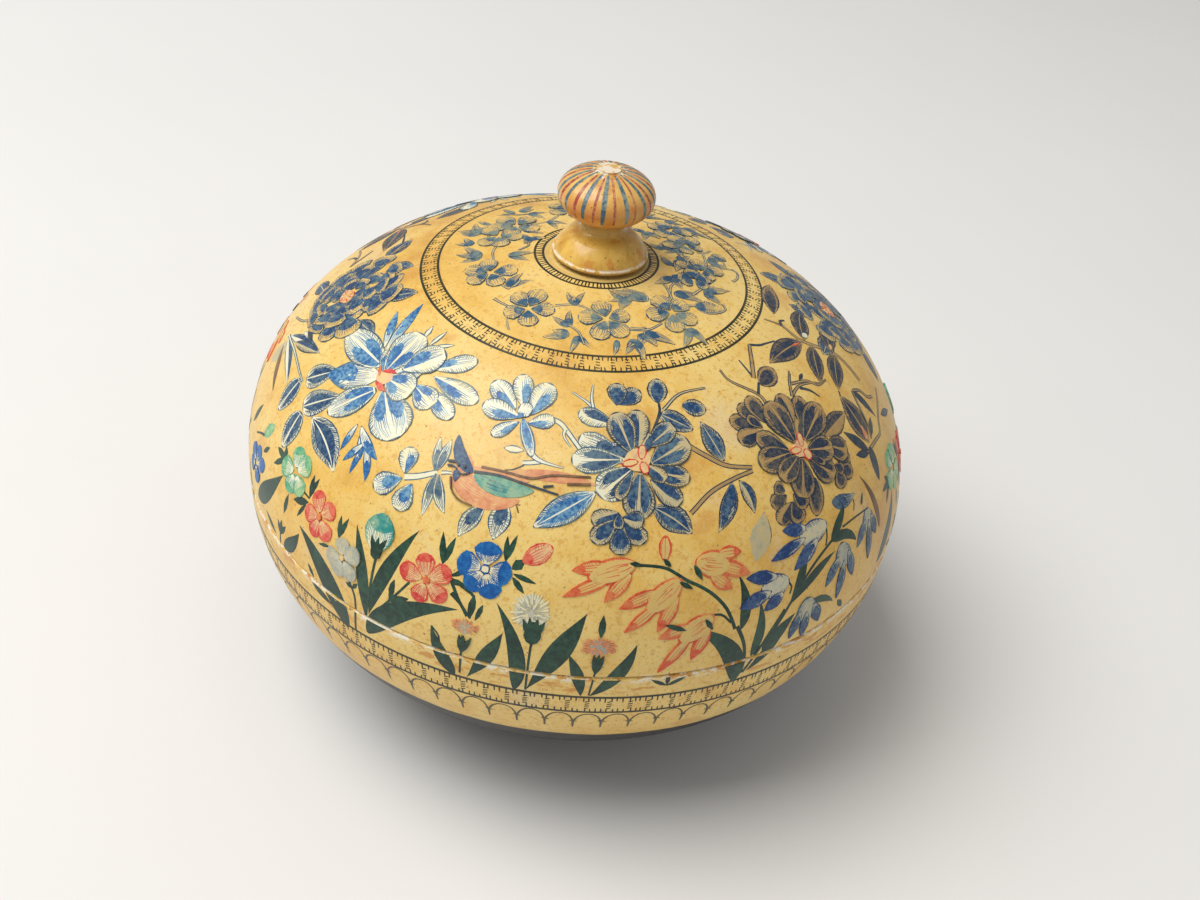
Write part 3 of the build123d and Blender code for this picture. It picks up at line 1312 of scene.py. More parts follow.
def blossom(
    centre: Point, tips: Sequence[tuple[float, float, float]], shade: Shade = Shade.TIP,
    reach: float | None = None,
) -> tuple[Petal, ...]:
    """Petals of a small open flower.

    Args:
        centre: Its heart.
        tips: Each petal's tip and width.
        shade: How each petal is shaded.
        reach: How far the shade reaches, or None for as far as its paints say.

    Returns:
        The petals.
    """
    return tuple(
        Petal((centre[0] + 0.12 * (x - centre[0]), centre[1] + 0.12 * (y - centre[1])), (x, y), width,
              shade, reach=reach)
        for x, y, width in tips
    )


def ray(base: Point, tips: Sequence[Point], width: float, paint: Paint = Paint.GREEN) -> tuple[Blade, ...]:
    """Small leaves that spring from one place."""
    return tuple(Blade(base, tip, width, paint, Form.LEAF) for tip in tips)


def bell(
    hood: Point, mouth: Point, width: float, lobes: Sequence[tuple[Point, Point, float]], reach: float = 0.35
) -> tuple[Petal, ...]:
    """A hanging flower.

    Args:
        hood: Top of its rounded body.
        mouth: Where the body ends.
        width: Width of the body.
        lobes: Base, tip and width of each pointed lobe of the mouth, the front one last.
        reach: How far the shade reaches from the lobes' tips.

    Returns:
        The body and the lobes.
    """
    body = Petal(hood, mouth, width, Shade.NONE, Form.OVAL)
    return (body, *(Petal(base, tip, wide, Shade.TIP, Form.POINTED, reach=reach) for base, tip, wide in lobes))


def columbine(
    hood: Point, mouth: Point, width: float, lobes: Sequence[tuple[Point, Point, float]]
) -> tuple[Petal | Blade, ...]:
    """A hanging flower in one outline, its body washed on into the lobes.

    Args:
        hood: Top of its rounded body.
        mouth: Where the body opens.
        width: Width of the body.
        lobes: Base, tip and width of each pointed lobe, the front one last.

    Returns:
        The body, the lobes and the wash over the place where they join.
    """
    def along(share: float) -> Point:
        return hood[0] + (mouth[0] - hood[0]) * share, hood[1] + (mouth[1] - hood[1]) * share

    inner = width - 2 * COLUMBINE.outline - 0.2
    wash = Blade(along(0.06), along(1.1), inner, COLUMBINE.wash, Form.OVAL, 0, COLUMBINE.shade)
    return (*bell(hood, along(1.15), width, lobes), wash)


def tuft(centre: Point, wide: float, high: float, count: int, paint: Paint, seed: int) -> tuple[Stem, ...]:
    """Short strokes that spread from the middle of a fuzzy flower head.

    Args:
        centre: Its middle.
        wide: Width of the head.
        high: Its height.
        count: Number of strokes.
        paint: Their paint.
        seed: Seed of the small differences between strokes.

    Returns:
        The strokes.
    """
    chance = Random(seed)
    strokes = []
    for number in range(count):
        turn = 2 * pi * (number + chance.random()) / count
        shares = (chance.uniform(0.15, 0.65), chance.uniform(0.75, 1.0))
        ends = tuple(
            (centre[0] + wide / 2 * share * cos(turn), centre[1] + high / 2 * share * sin(turn))
            for share in shares
        )
        strokes.append(Stem(ends, 0.36, paint, None, 0.14))
    return tuple(strokes)


def rosette(
    centre: Point, rings: Sequence[tuple[int, float, float, float]], seed: int
) -> tuple[Petal, ...]:
    """Rings of overlapping petals of a full flower, the outer ones first.

    Args:
        centre: Its heart.
        rings: Number of petals, start and end distance and petal width of each ring.
        seed: Seed of the small differences between petals.

    Returns:
        The petals.
    """
    chance = Random(seed)
    petals = []
    for count, start, end, width in rings:
        turn = chance.uniform(0, 2 * pi)
        for number in range(count):
            angle = turn + 2 * pi * (number + chance.uniform(-0.15, 0.15)) / count
            far = end * chance.uniform(0.92, 1.07)
            lean = angle + chance.uniform(-0.12, 0.12)
            base = (centre[0] + start * cos(angle), centre[1] + start * sin(angle))
            tip = (centre[0] + far * cos(lean), centre[1] + far * 0.84 * sin(lean))
            reach = chance.uniform(0.62, 0.78)
            petals.append(Petal(base, tip, width * chance.uniform(0.9, 1.15), Shade.WHOLE, reach=reach))
    return tuple(petals)


# A full dark peony with small leaves behind it.
PEONY = Motif("peony", Zone.SHOULDER, (
    Layer(MIXED, (
        Petal((-6, 10), (-2.5, 15.5), 4, Shade.VEINED, Form.POINTED),
        Petal((6.5, 9), (8.5, 16.4), 4.5, Shade.VEINED, Form.POINTED),
        Petal((-11, 8.5), (-18, 14), 5, Shade.VEINED, Form.POINTED),
        Petal((-9, -6.5), (-18, -10.5), 4.5, Shade.VEINED, Form.POINTED),
        Petal((10.5, 3), (17.5, 6.2), 4.2, Shade.VEINED, Form.POINTED),
        Petal((4, -14.5), (14.5, -7), 3, Shade.HALF, Form.LEAF),
        Stem(((1, -7), (-2, -12), (-8, -16)), 0.9, Paint.SLATE, Paint.STONE, 0.6),
        Blade((3.5, -9.8), (9, -8.8), 1.5, Paint.SLATE, Form.LEAF),
    ), 2),
    Layer(FULL, rosette((-0.6, 1.4), ((13, 8.6, 14.4, 6.0), (11, 6.0, 11.6, 5.8), (8, 3.6, 8.6, 5.4),
                                      (6, 1.4, 5.6, 4.6)), 5), 8),
    Layer(HEART, (
        Blade((-2.4, 0.4), (2.6, 1), 3.6, Paint.ROSE, Form.OVAL),
        *tuft((0.1, 0.7), 5.4, 4.4, 13, Paint.ORANGE, 8),
        *tuft((0.2, 0.8), 3.4, 3.0, 7, Paint.SAND, 9),
    ), 3),
))

# A wide open flower in bright blue on cream, with pointed petals and arrow leaves.
BRIGHT_FLOWER = Motif("bright_flower", Zone.SHOULDER, (
    Layer(MIXED_BRIGHT, (
        Petal((-19.6, -11.5), (-12.2, -4.6), 6.2, Shade.VEINED, Form.FLAME),
        Petal((-14.8, -16.4), (-6.4, -8), 6.4, Shade.VEINED, Form.FLAME),
        Petal((-10, -16.3), (4.2, -22.4), 8.2, Shade.VEINED, Form.LEAF, 0.10),
    ), 1),
    Layer(BRIGHT, (
        Petal((-6, 4.5), (-11, 17.2), 2.7, Shade.TIP, Form.POINTED, 0, 0.7),
        Petal((-7, 5), (-13.8, 12.5), 2.2, Shade.TIP, Form.POINTED, 0, 0.7),
        Petal((2.2, -9.8), (2.5, -17), 1.7, Shade.TIP, Form.POINTED, 0, 0.6),
        Petal((3.2, -9.6), (11.6, -13.2), 2.6, Shade.TIP, Form.POINTED, -0.06, 0.6),
        Petal((4.2, -10.4), (8.2, -15.6), 2.0, Shade.TIP, Form.POINTED, 0, 0.6),
        Petal((6.6, -12), (4.6, -18.4), 1.8, Shade.TIP, Form.POINTED),
        Petal((6.8, -12), (7.9, -20), 1.5, Shade.TIP, Form.POINTED),
        Petal((7, -12.2), (12.2, -19), 2, Shade.TIP, Form.POINTED, 0.08),
        Petal((-2, 11.5), (-3.2, 14.8), 1.5, Shade.NONE, Form.LEAF),
        Petal((0.6, 11), (0.5, 15.7), 1.3, Shade.NONE, Form.LEAF),
        Petal((1.5, 11.3), (4.8, 14.5), 1.3, Shade.NONE, Form.LEAF),
    ), 2),
    Layer(BRIGHT, (
        Petal((7.5, 7), (19.4, 8.4), 4.8, Shade.RIGHT),
        Petal((6, 8), (11.8, 15), 4.6, Shade.LEFT, reach=0.45),
        Petal((9, 4.6), (18, 2.7), 4.4, Shade.RIGHT),
        Petal((-1.5, 0.5), (-14.2, -7), 7, Shade.TIP, Form.POINTED),
        Petal((-3.5, 2.2), (-19.2, 2.4), 7.6, Shade.BOTH, Form.OVAL),
        Petal((0, -2), (-6.5, -12.8), 6.4, Shade.BOTH, Form.OVAL),
    ), 3),
    Layer(BRIGHT, (
        Petal((6, 3.4), (12.9, 2.4), 5.6, Shade.BOTH),
        Petal((1.2, -0.8), (11.8, -7.4), 9.8, Shade.BOTH),
        Petal((-1.6, 1.4), (-3, 12.2), 8.5, Shade.BOTH),
        Petal((1, 4), (5.2, 12.2), 7, Shade.LEFT),
        Petal((-0.5, 0.8), (7.2, 2), 7, Shade.BOTH),
        Petal((0, 1.6), (4.4, 7.4), 5.2, Shade.RIGHT),
        Petal((-1.6, 1), (-5.4, 6.4), 4.4, Shade.LEFT),
    ), 5),
    Layer(HEART, (
        Blade((-2.6, 0.2), (1.2, 1.4), 3.6, Paint.ROSE, Form.OVAL),
        Blade((-2.2, 1.2), (1, 2.9), 1.1, Paint.RED, Form.LEAF, 0.1),
        Blade((-1.6, -1), (2.2, -1.3), 1.3, Paint.RED, Form.LEAF),
        Blade((-1.8, 0.2), (-3.6, 2), 0.7, Paint.ORANGE, Form.LEAF),
    ), 4),
))

# The large flower at the front, with a smaller one under it, buds and leaves.
FRONT_FLOWER = Motif("front_flower", Zone.SHOULDER, (
    Layer(MIXED, (
        Stem(((2, 3), (5, 9), (5.3, 11.5)), 0.7, Paint.SLATE, None, 0.5),
        Stem(((6, 10), (10, 13.5), (16, 15)), 0.8, Paint.SLATE, Paint.STONE, 0.5),
        Stem(((9.4, 3), (13.5, 0.5), (18, -1.7), (24, -2.3)), 1.2, Paint.SLATE, Paint.KHAKI, 1.0),
        Stem(((9.6, -11.2), (14, -7), (19.5, -4.4), (24, -3)), 1.1, Paint.SLATE, Paint.KHAKI, 1.0),
        Stem(((-7.8, 10.5), (-9, 12), (-11.7, 14.2)), 0.9, Paint.STEEL, Paint.CREAM, 0.4),
        Stem(((-7.8, 10.5), (-7.9, 13), (-7.3, 15.7)), 0.9, Paint.STEEL, Paint.CREAM, 0.4),
        Petal((5.2, 9.2), (11.6, 5.8), 4.4, Shade.VEINED, Form.EGG),
        Petal((17.5, -0.8), (13.3, 7.6), 4.6, Shade.VEINED, Form.LEAF),
        Petal((18.8, -5), (15.6, -15.9), 4.2, Shade.WHOLE, Form.LEAF, 0.06, 0.85),
        Petal((20.4, -4.8), (24.2, -12.4), 3.2, Shade.HALF, Form.LEAF, 0.07),
        Petal((1.8, -9.5), (9.9, -15.7), 5.8, Shade.VEINED, Form.POINTED, 0.05),
        Petal((-3.2, 11), (-2.4, 16), 4.4, Shade.WHOLE, Form.ROUND),
        Petal((-3, 11.2), (2, 14.2), 4.0, Shade.WHOLE, Form.ROUND),
        Petal((5, 11.5), (5.9, 17), 4.4, Shade.CORE, Form.OVAL),
        Petal((10, 11), (15.2, 10), 4, Shade.CORE, Form.OVAL),
    ), 2),
    Layer(MIXED_BRIGHT, (
        Petal((-4, 7), (-10.9, 9.8), 4.2, Shade.RIGHT),
        Petal((-3.2, 1), (-11.2, 4.6), 4.8, Shade.WHOLE, reach=0.6),
        Petal((-3, 0), (-13, 0), 5.6, Shade.BOTH),
        Petal((-1, -1.5), (-8.2, -7.2), 6.8, Shade.BOTH),
        Petal((-1, -0.5), (-6.5, 2.6), 4.4, Shade.RIGHT),
    ), 3),
    Layer(BRIGHT, (
        Petal((-8.6, -6.3), (-21.7, -13.9), 5.8, Shade.VEINED, Form.POINTED),
    ), 1),
    Layer(MIXED, (
        Petal((-4.5, -10.6), (-10, -12.6), 4.4, Shade.LEFT),
        Petal((-5.2, -12), (-10, -17), 4.6, Shade.CORE),
        Petal((-4, -12.6), (0.2, -17.2), 4.6, Shade.CORE),
        Petal((-4.6, -13.4), (-4.7, -19.8), 4.6, Shade.WHOLE),
        Petal((-4, -11.6), (0.2, -12.6), 4.2, Shade.LEFT),
        Petal((-4.5, -10.8), (-5, -14.2), 2.6, Shade.CORE),
        Petal((1.8, -4), (7.7, -9.2), 4.8, Shade.LEFT),
        Petal((1.5, -2.2), (9.8, -4.2), 4.8, Shade.BOTH),
        Petal((2, -1), (10.2, 3.6), 6.6, Shade.BOTH),
        Petal((1.8, 2.4), (7.6, 6.8), 4.6, Shade.BOTH),
        Petal((0, 2.2), (0.6, 10), 5, Shade.LEFT),
        Petal((-1.2, 1), (-3.8, 9.5), 5.8, Shade.BOTH),
        Petal((0, -2.4), (-1, -12.2), 6.6, Shade.BOTH),
        Petal((-1.6, -2.6), (-4.8, -8), 3, Shade.CORE),
        Petal((1.2, -1.2), (5, -4.4), 3.4, Shade.RIGHT),
        Petal((0.4, 1), (2.8, 5.2), 3, Shade.RIGHT),
    ), 6),
    Layer(HEART, (
        Blade((-3, -0.8), (2.2, 0.4), 4.6, Paint.ROSE, Form.OVAL),
        Petal((0.4, -0.2), (0.9, 2.8), 1.9, Shade.NONE, Form.OVAL),
        Petal((-0.2, -0.5), (-3.4, -1), 1.7, Shade.NONE, Form.OVAL),
        Petal((0.4, -0.5), (1.2, -3), 2, Shade.NONE, Form.OVAL),
    ), 4),
))

# The dark flower to the right of the front, with its small side flowers.
DARK_FLOWER = Motif("dark_flower", Zone.SHOULDER, (
    Layer(DUSKY, (
        Stem(((-1, 10.4), (-1.2, 13), (-5, 18), (-5.2, 21)), 0.9, Paint.SLATE, Paint.KHAKI, 0.6),
        Stem(((-1.2, 13), (1, 15)), 0.7, Paint.SLATE, None, 0.5),
        Stem(((0.8, 17), (1, 21)), 0.6, Paint.SLATE, None, 0.4),
        Stem(((6.5, 9.5), (8.4, 11.8), (10.5, 13.5)), 0.7, Paint.SLATE, None, 0.4),
        Stem(((8.6, 11.6), (13.5, 10.5), (16, 8.5), (20, 8.5)), 0.8, Paint.SLATE, Paint.KHAKI, 0.5),
        Blade((14, 12.2), (11.6, 11.4), 1, Paint.SLATE, Form.LEAF),
        Petal((8.2, -0.5), (19.2, 0.8), 5, Shade.HALF, Form.LEAF),
        Petal((0, -6.6), (-3.3, -14.4), 4.8, Shade.CORE, Form.OVAL),
        Petal((-20.5, -17), (-15.3, -7.8), 4.4, Shade.NONE, Form.LEAF),
        Petal((1, 14.4), (7.4, 16), 4.6, Shade.CORE, Form.OVAL),
    ), 2),
    Layer(DUSKY, (
        Petal((-6, 7.6), (-11.7, 11.2), 4.2, Shade.CORE),
        Petal((-6.3, 6.5), (-12.6, 7), 4.4, Shade.LEFT),
        Petal((-6.3, 8.4), (-7.1, 13.3), 4.2, Shade.CORE),
        Petal((-4.4, 7.6), (-4, 13.8), 4.7, Shade.CORE),
        Petal((-5.6, 7), (-7.6, 10.4), 2.8, Shade.CORE),
        Petal((-8.6, -6.8), (-13.2, -7.6), 4.2, Shade.CORE),
        Petal((-8.6, -6), (-10.6, -4), 3.6, Shade.CORE),
        Petal((-8.3, -8.6), (-13.2, -11.8), 4.4, Shade.LEFT),
        Petal((-8, -8.6), (-8, -13.8), 4.6, Shade.CORE),
        Petal((-7, -7.2), (-4.8, -11.2), 4.2, Shade.CORE),
        Petal((8.4, -7), (13.2, -7), 4.8, Shade.CORE),
        Petal((8, -8.2), (12.2, -10.8), 4.2, Shade.CORE),
        Petal((7.4, -8), (7, -12.4), 4.6, Shade.CORE),
        Petal((7, -6.8), (9.2, -9.2), 3.2, Shade.CORE),
    ), 5),
    Layer(DUSKY, (
        Petal((6.8, -2), (13, -6.2), 6, Shade.BOTH),
        Petal((3.6, 4.2), (8.2, 8.6), 4.6, Shade.CORE),
        Petal((2, 4.8), (3.4, 11.2), 4.8, Shade.LEFT),
        Petal((-3, 1), (-8.7, 6.2), 4.8, Shade.CORE),
        Petal((-2.6, 0.2), (-11.3, 1.2), 6, Shade.BOTH),
        Petal((-1.4, -1), (-8.4, -3.6), 5.2, Shade.BOTH),
        Petal((-0.8, -1.6), (-5.2, -9.3), 6.6, Shade.BOTH),
        Petal((0.6, -2.4), (5.7, -9), 6.2, Shade.BOTH),
        Petal((1.4, -1), (8.8, -3.6), 6, Shade.BOTH),
        Petal((1.8, 0.8), (12, 5.1), 6.6, Shade.BOTH),
        Petal((-0.5, 1.2), (-1, 11), 7, Shade.BOTH),
        Petal((1.2, -2.4), (4.4, -5.4), 2, Shade.CORE),
        Petal((0.8, 1.6), (4, 5), 3.4, Shade.RIGHT),
    ), 6),
    Layer(HEART, (
        Blade((-2.2, -0.8), (2, 0.6), 3.4, Paint.ROSE, Form.OVAL),
        Petal((0.3, 0), (1.6, 2.8), 1.7, Shade.NONE, Form.OVAL),
        Petal((0, -0.2), (-3, 0.3), 1.7, Shade.NONE, Form.OVAL),
        Petal((0.5, -0.5), (1, -3), 2.2, Shade.NONE, Form.OVAL),
    ), 4),
))

# Large dark leaves on a forked stem.
LEAF_SPRAY = Motif("leaf_spray", Zone.SHOULDER, (
    Layer(DUSKY, (
        Stem(((2.4, 2.3), (2.5, 0), (4, -3), (7, -7), (8.5, -11), (8.3, -18)), 1, Paint.SLATE, Paint.KHAKI, 1.3),
        Stem(((2.4, 2.2), (2.8, 5), (1.2, 8.6)), 0.9, Paint.SLATE, Paint.KHAKI, 0.4),
        Stem(((2.8, 4.8), (4, 5.6), (5.2, 4.8)), 0.8, Paint.SLATE, None, 0.4),
        Stem(((-9.8, 8.8), (-8, 7), (-6.5, 6.2), (-3.7, 4.7)), 0.7, Paint.SLATE, None, 0.4),
        Stem(((-18, 4.5), (-12, 7.7), (-9.8, 8.8)), 1.1, Paint.SLATE, Paint.KHAKI, 0.8),
        Stem(((-15.3, -4.2), (-12.5, -2.2), (-9.5, -0.8)), 0.9, Paint.SLATE, Paint.KHAKI, 0.4),
        Stem(((-15.3, -4.2), (-11.5, -4.2), (-8, -6), (-5.6, -8.2)), 0.9, Paint.SLATE, Paint.KHAKI, 0.5),
        Stem(((-11.6, -4.6), (-10, -6.8), (-9.3, -9.5)), 0.8, Paint.SLATE, None, 0.4),
        Petal((2.4, -0.5), (-11.2, 3.4), 5.4, Shade.VEINED, Form.LEAF, -0.04),
        Petal((3.2, -1), (14, 2.2), 5, Shade.VEINED, Form.LEAF, 0.08),
        Petal((4, -2.8), (-5.6, -8.4), 4.8, Shade.VEINED, Form.LEAF, -0.05),
        Petal((7, -7.2), (16.6, -5.6), 5.2, Shade.VEINED, Form.LEAF, 0.06),
        Petal((8, -8.6), (-2.6, -13), 5.4, Shade.VEINED, Form.LEAF, -0.05),
        Petal((5.2, 7.3), (17.2, 10.4), 4.6, Shade.CORE, Form.POINTED, 0.05, 0.7),
    ), 3),
    Layer(HEART, (
        Blade((-1.6, 1.2), (1.2, -0.1), 0.7, Paint.ORANGE, Form.LEAF),
        Blade((4.2, -0.3), (6, -0.7), 1.4, Paint.CREAM, Form.OVAL),
        Blade((8, -7.3), (9.8, -7), 1.1, Paint.ROSE, Form.OVAL),
    ), 2),
))

# A leaf with a small flame, dark leaves and stems on the turn of the shoulder.
FLAME_LEAF = Motif("flame_leaf", Zone.SHOULDER, (
    Layer(DUSKY, (
        Petal((-1.6, -5), (-0.2, 7), 7, Shade.VEINED, Form.LEAF),
        Stem(((0.6, 7.4), (-0.2, 6.6)), 0.5, Paint.SLATE, None, 0.4),
        Stem(((5, 4.7), (3.4, 2), (2, -2), (0.2, -5)), 0.8, Paint.SLATE, Paint.KHAKI, 0.5),
        Blade((5.2, 4.7), (7.7, -4), 2.2, Paint.SLATE, Form.BLADE),
        Stem(((5.4, 4.6), (8, 3), (9.5, 0.4), (12, -1)), 0.8, Paint.SLATE, Paint.KHAKI, 0.8),
        Blade((-3.3, -6), (-7.8, 2), 2.4, Paint.SLATE, Form.LEAF),
        Blade((-3.6, -6.3), (-8.6, -3.6), 2, Paint.SLATE, Form.LEAF),
        Blade((-2.4, -5.4), (-4.2, -13.4), 3, Paint.SLATE, Form.EGG),
        Blade((0.3, -4.6), (4.8, -2.2), 1.9, Paint.SLATE, Form.LEAF),
        Stem(((-2, -6), (2, -6.4), (5.5, -6.8), (9, -4.6), (18, -2)), 1, Paint.SLATE, Paint.KHAKI, 0.8),
        Blade((11, -5.4), (18.5, -8.5), 2, Paint.SLATE, Form.LEAF),
    ), 3),
    Layer(HEART, (
        Blade((-1.4, -4.2), (-0.9, -0.8), 1.5, Paint.SALMON, Form.FLAME),
    ), 1),
))

# A bird with a crest and a long tail.
BIRD = Motif("bird", Zone.SHOULDER, (
    Layer(BARE, (
        Stem(((7.2, -1.6), (8.2, -2.6), (9, -3.9)), 0.4, Paint.BROWN, None, 0.25),
        Stem(((7.8, -1.6), (8.4, -2.4), (8.8, -2.2)), 0.35, Paint.BROWN, None, 0.2),
        Blade((4, 2.6), (21.5, 5.2), 2.2, Paint.SALMON, Form.OVAL, 0.04),
        Blade((-5.4, 0.6), (8.4, -1.6), 6.6, Paint.SALMON, Form.EGG, -0.10, Paint.ROSE),
        Blade((-3.6, 1.6), (9, 2.4), 1.9, Paint.SALMON, Form.OVAL),
        Blade((-5.9, 3.8), (-2.4, 0.8), 3.4, Paint.SALMON, Form.OVAL),
    ), 6),
    Layer(BARE, (
        Blade((-1.4, 0.9), (10.4, 1), 3.6, Paint.TEAL, Form.EGG, -0.09, Paint.STEEL),
        Blade((-1.8, 1), (-7.1, 7), 2.6, Paint.INDIGO, Form.EGG, 0.14),
        Blade((-4.8, 0.6), (-4.6, -1.7), 1.6, Paint.INDIGO, Form.FLAME),
        Stem(((-0.6, 2.5), (4, 2.9), (9, 3.1), (13, 4.8), (20, 6.4)), 0.45, Paint.BROWN, None, 0.4),
        Stem(((-1.6, 1.2), (3, 1.9), (8, 1.8), (15, 1.5)), 0.55, Paint.SLATE, None, 0.35),
        Stem(((11.8, 2.2), (13.6, 2.9)), 0.45, Paint.SLATE, None, 0.3),
        Stem(((16, 3.9), (20.4, 5)), 0.4, Paint.BROWN, None, 0.5),
        Stem(((-7.2, 1.7), (-5.6, 2), (-4.8, 1.4)), 0.4, Paint.SLATE, None, 0.6),
        Stem(((-7, 0.9), (-5.8, 1.1), (-5, 0.7)), 0.35, Paint.SLATE, None, 0.3),
        Stem(((-2.4, 0.8), (-3.3, 0.1), (-4.6, 0.1)), 0.35, Paint.SLATE, None, 0.25),
        Blade((-4.1, 1.9), (-3.4, 1.4), 0.7, Paint.SLATE, Form.OVAL),
        Stem(((-5.6, -1), (-4.6, -3.4), (-2.6, -4.7), (0, -5)), 0.3, Paint.BROWN, None, 0.25),
    ), 12),
))

# The small bright flower over the bird, on its forked ribbon of a stem.
SMALL_FLOWER = Motif("small_flower", Zone.SHOULDER, (
    Layer(BARE, (
        Stem(((5.8, 2), (7.6, 1.6), (9.5, 0.2), (13, -2.7)), 1.2, Paint.STEEL, Paint.CREAM, 1),
        Stem(((8.8, 0.6), (9, -0.8), (10.9, -2.6)), 0.9, Paint.STEEL, Paint.CREAM, 0.3),
        Stem(((3.6, -5.6), (6.2, -6.9), (10.8, -7.2)), 1.5, Paint.STEEL, Paint.CREAM, 0.3),
        Stem(((6.4, -7), (4.6, -7.8), (3.2, -8.2)), 1.2, Paint.STEEL, Paint.CREAM, 1),
        Stem(((3.6, -8.6), (2, -10), (0.4, -10.6)), 0.35, Paint.SLATE, None, 0.2),
        Petal((-1.2, -6.2), (2.8, -5.7), 1.8, Shade.NONE, Form.LEAF),
        Blade((0.2, -5.9), (1.4, -5.8), 1, Paint.BROWN, Form.OVAL),
    ), 3),
    Layer(BRIGHT, (
        Petal((0.4, 0.6), (4.6, -6.6), 2.6, Shade.CORE, Form.OVAL, 0, 0.75),
        Petal((0, -0.2), (-4.4, -4.4), 3, Shade.LEFT),
        Petal((1.6, -0.2), (6.4, 2), 3.4, Shade.RIGHT),
        Petal((-0.2, 0.6), (-8.1, 1.4), 4.6, Shade.LEFT),
        Petal((-1.4, 2), (-7.8, 6.8), 4.6, Shade.LEFT),
        Petal((-0.2, 2.8), (-2.8, 9.8), 4.4, Shade.RIGHT),
        Petal((1.6, 1.6), (3.2, 9.3), 5.2, Shade.RIGHT, reach=0.62),
    ), 4),
    Layer(BRIGHT, (
        Petal((-1.2, 2.6), (1.8, 2.2), 3.6, Shade.NONE, Form.OVAL),
        Blade((-0.6, 0.4), (0.2, 1.6), 1, Paint.COBALT, Form.OVAL),
    ), 2),
))

# A three-lobed flower and a feathery sprig.
CLOVER = Motif("clover", Zone.SHOULDER, (
    Layer(BARE, (
        Stem(((5.4, 1.4), (8, 2.8), (11, 5.1)), 1.5, Paint.STEEL, Paint.CREAM, 1.2),
        Petal((10.4, 5), (7.5, 11.2), 2, Shade.CORE, Form.LEAF),
        Petal((10.8, 5.2), (9.9, 11.8), 2.4, Shade.CORE, Form.LEAF),
        Petal((10.8, 5.2), (12.6, -3.6), 2.4, Shade.CORE, Form.LEAF),
        Petal((11.6, 5), (16.6, -1.2), 2.6, Shade.CORE, Form.LEAF, -0.08),
        Stem(((11.8, 5.4), (13.6, 6.2), (15.4, 5.8)), 0.9, Paint.STEEL, Paint.CREAM, 0.3),
    ), 3),
    Layer(BRIGHT, (
        Petal((5.2, 1.9), (3.3, 6.9), 4.4, Shade.RIGHT, reach=0.62),
        Petal((5.2, 1), (0.2, -3.3), 4.8, Shade.CORE, reach=0.65),
        Petal((7.6, 1), (7.2, -5), 4.7, Shade.CORE, reach=0.65),
    ), 3),
))

# Two leaves that hang from the branch under the bird.
HANGING_LEAVES = Motif("hanging_leaves", Zone.SHOULDER, (
    Layer(MIXED_BRIGHT, (
        Petal((2.5, -4.2), (-0.8, -11.9), 3.8, Shade.CORE, Form.LEAF, -0.05, 0.6),
        Petal((6, -2.2), (5.9, -10.4), 4.5, Shade.CORE, Form.LEAF, 0, 0.6),
    ), 2),
))

def trumpet(base: Point, tips: Sequence[Point], width: float) -> tuple[Petal, ...]:
    """Shaded pointed leaves of the crown that spring from one place."""
    return tuple(
        Petal(base, tip, width, Shade.WHOLE, Form.FLAME, 0.05, 0.5) for tip in tips
    )


def tendril(*points: Point, width: float = 0.75) -> Stem:
    """Pale stem of the crown with dark edges."""
    return Stem(points, width, Paint.STEEL, Paint.SAND, 0.5)


# Two five-petalled flowers of the crown, joined by stems.
CROWN_PAIR = Motif("crown_pair", Zone.CROWN, (
    Layer(SANDY, (
        tendril((-4, 3.5), (0, 5), (4, 4.2)),
        tendril((-17, 2.6), (-14.6, 1.4), (-12, 0.5)),
        tendril((12, 2), (14, 2.6), (15, 3.5)),
        tendril((9.4, 10.6), (10.6, 12.4), (13.4, 12.7), width=0.6),
        tendril((0.2, -1.4), (2.4, -2.6), (4.4, -5.6), width=0.5),
        tendril((-12.4, -2.6), (-11.8, -4.4), (-11, -5.8), width=0.4),
        *trumpet((-0.2, 4.8), ((-2.9, 8.5), (0.6, 9.5), (-1.2, 7.6)), 1.5),
        *trumpet((-15.2, 6.7), ((-13.6, 12.2), (-10.8, 10.4), (-14.4, 10.2)), 1.8),
        *trumpet((8.6, 10.2), ((5.3, 11.7), (8.7, 6.5), (10.8, 11)), 2.0),
        *trumpet((0.4, -1.6), ((-3.7, 0.3), (-0.8, 3.1)), 1.8),
        *trumpet((0.8, -3.6), ((-4, -6), (-2.6, -3.6)), 2.2),
        *trumpet((2.4, -3.8), ((2.2, -8.8), (5.8, -6.2)), 1.5),
        *trumpet((10.2, -2.2), ((10.7, -6.6),), 1.5),
        *trumpet((13.6, -0.8), ((17, -5.6), (12.8, -3.4)), 1.9),
    ), 5),
    Layer(SANDY, (
        *blossom((-9, 1), ((-8, 7.5, 4.6), (-3.6, 2, 4.2), (-7.5, -4, 4.4), (-13.4, -1.8, 4.4),
                           (-13, 5, 4.2)), Shade.WHOLE),
        *blossom((6.7, 2.8), ((4, 7.6, 4.4), (10.8, 5.8, 4.2), (11.8, -0.8, 4.6), (6.5, -3.6, 4.4),
                              (1.2, 1.4, 4.4)), Shade.WHOLE),
    ), 5),
))

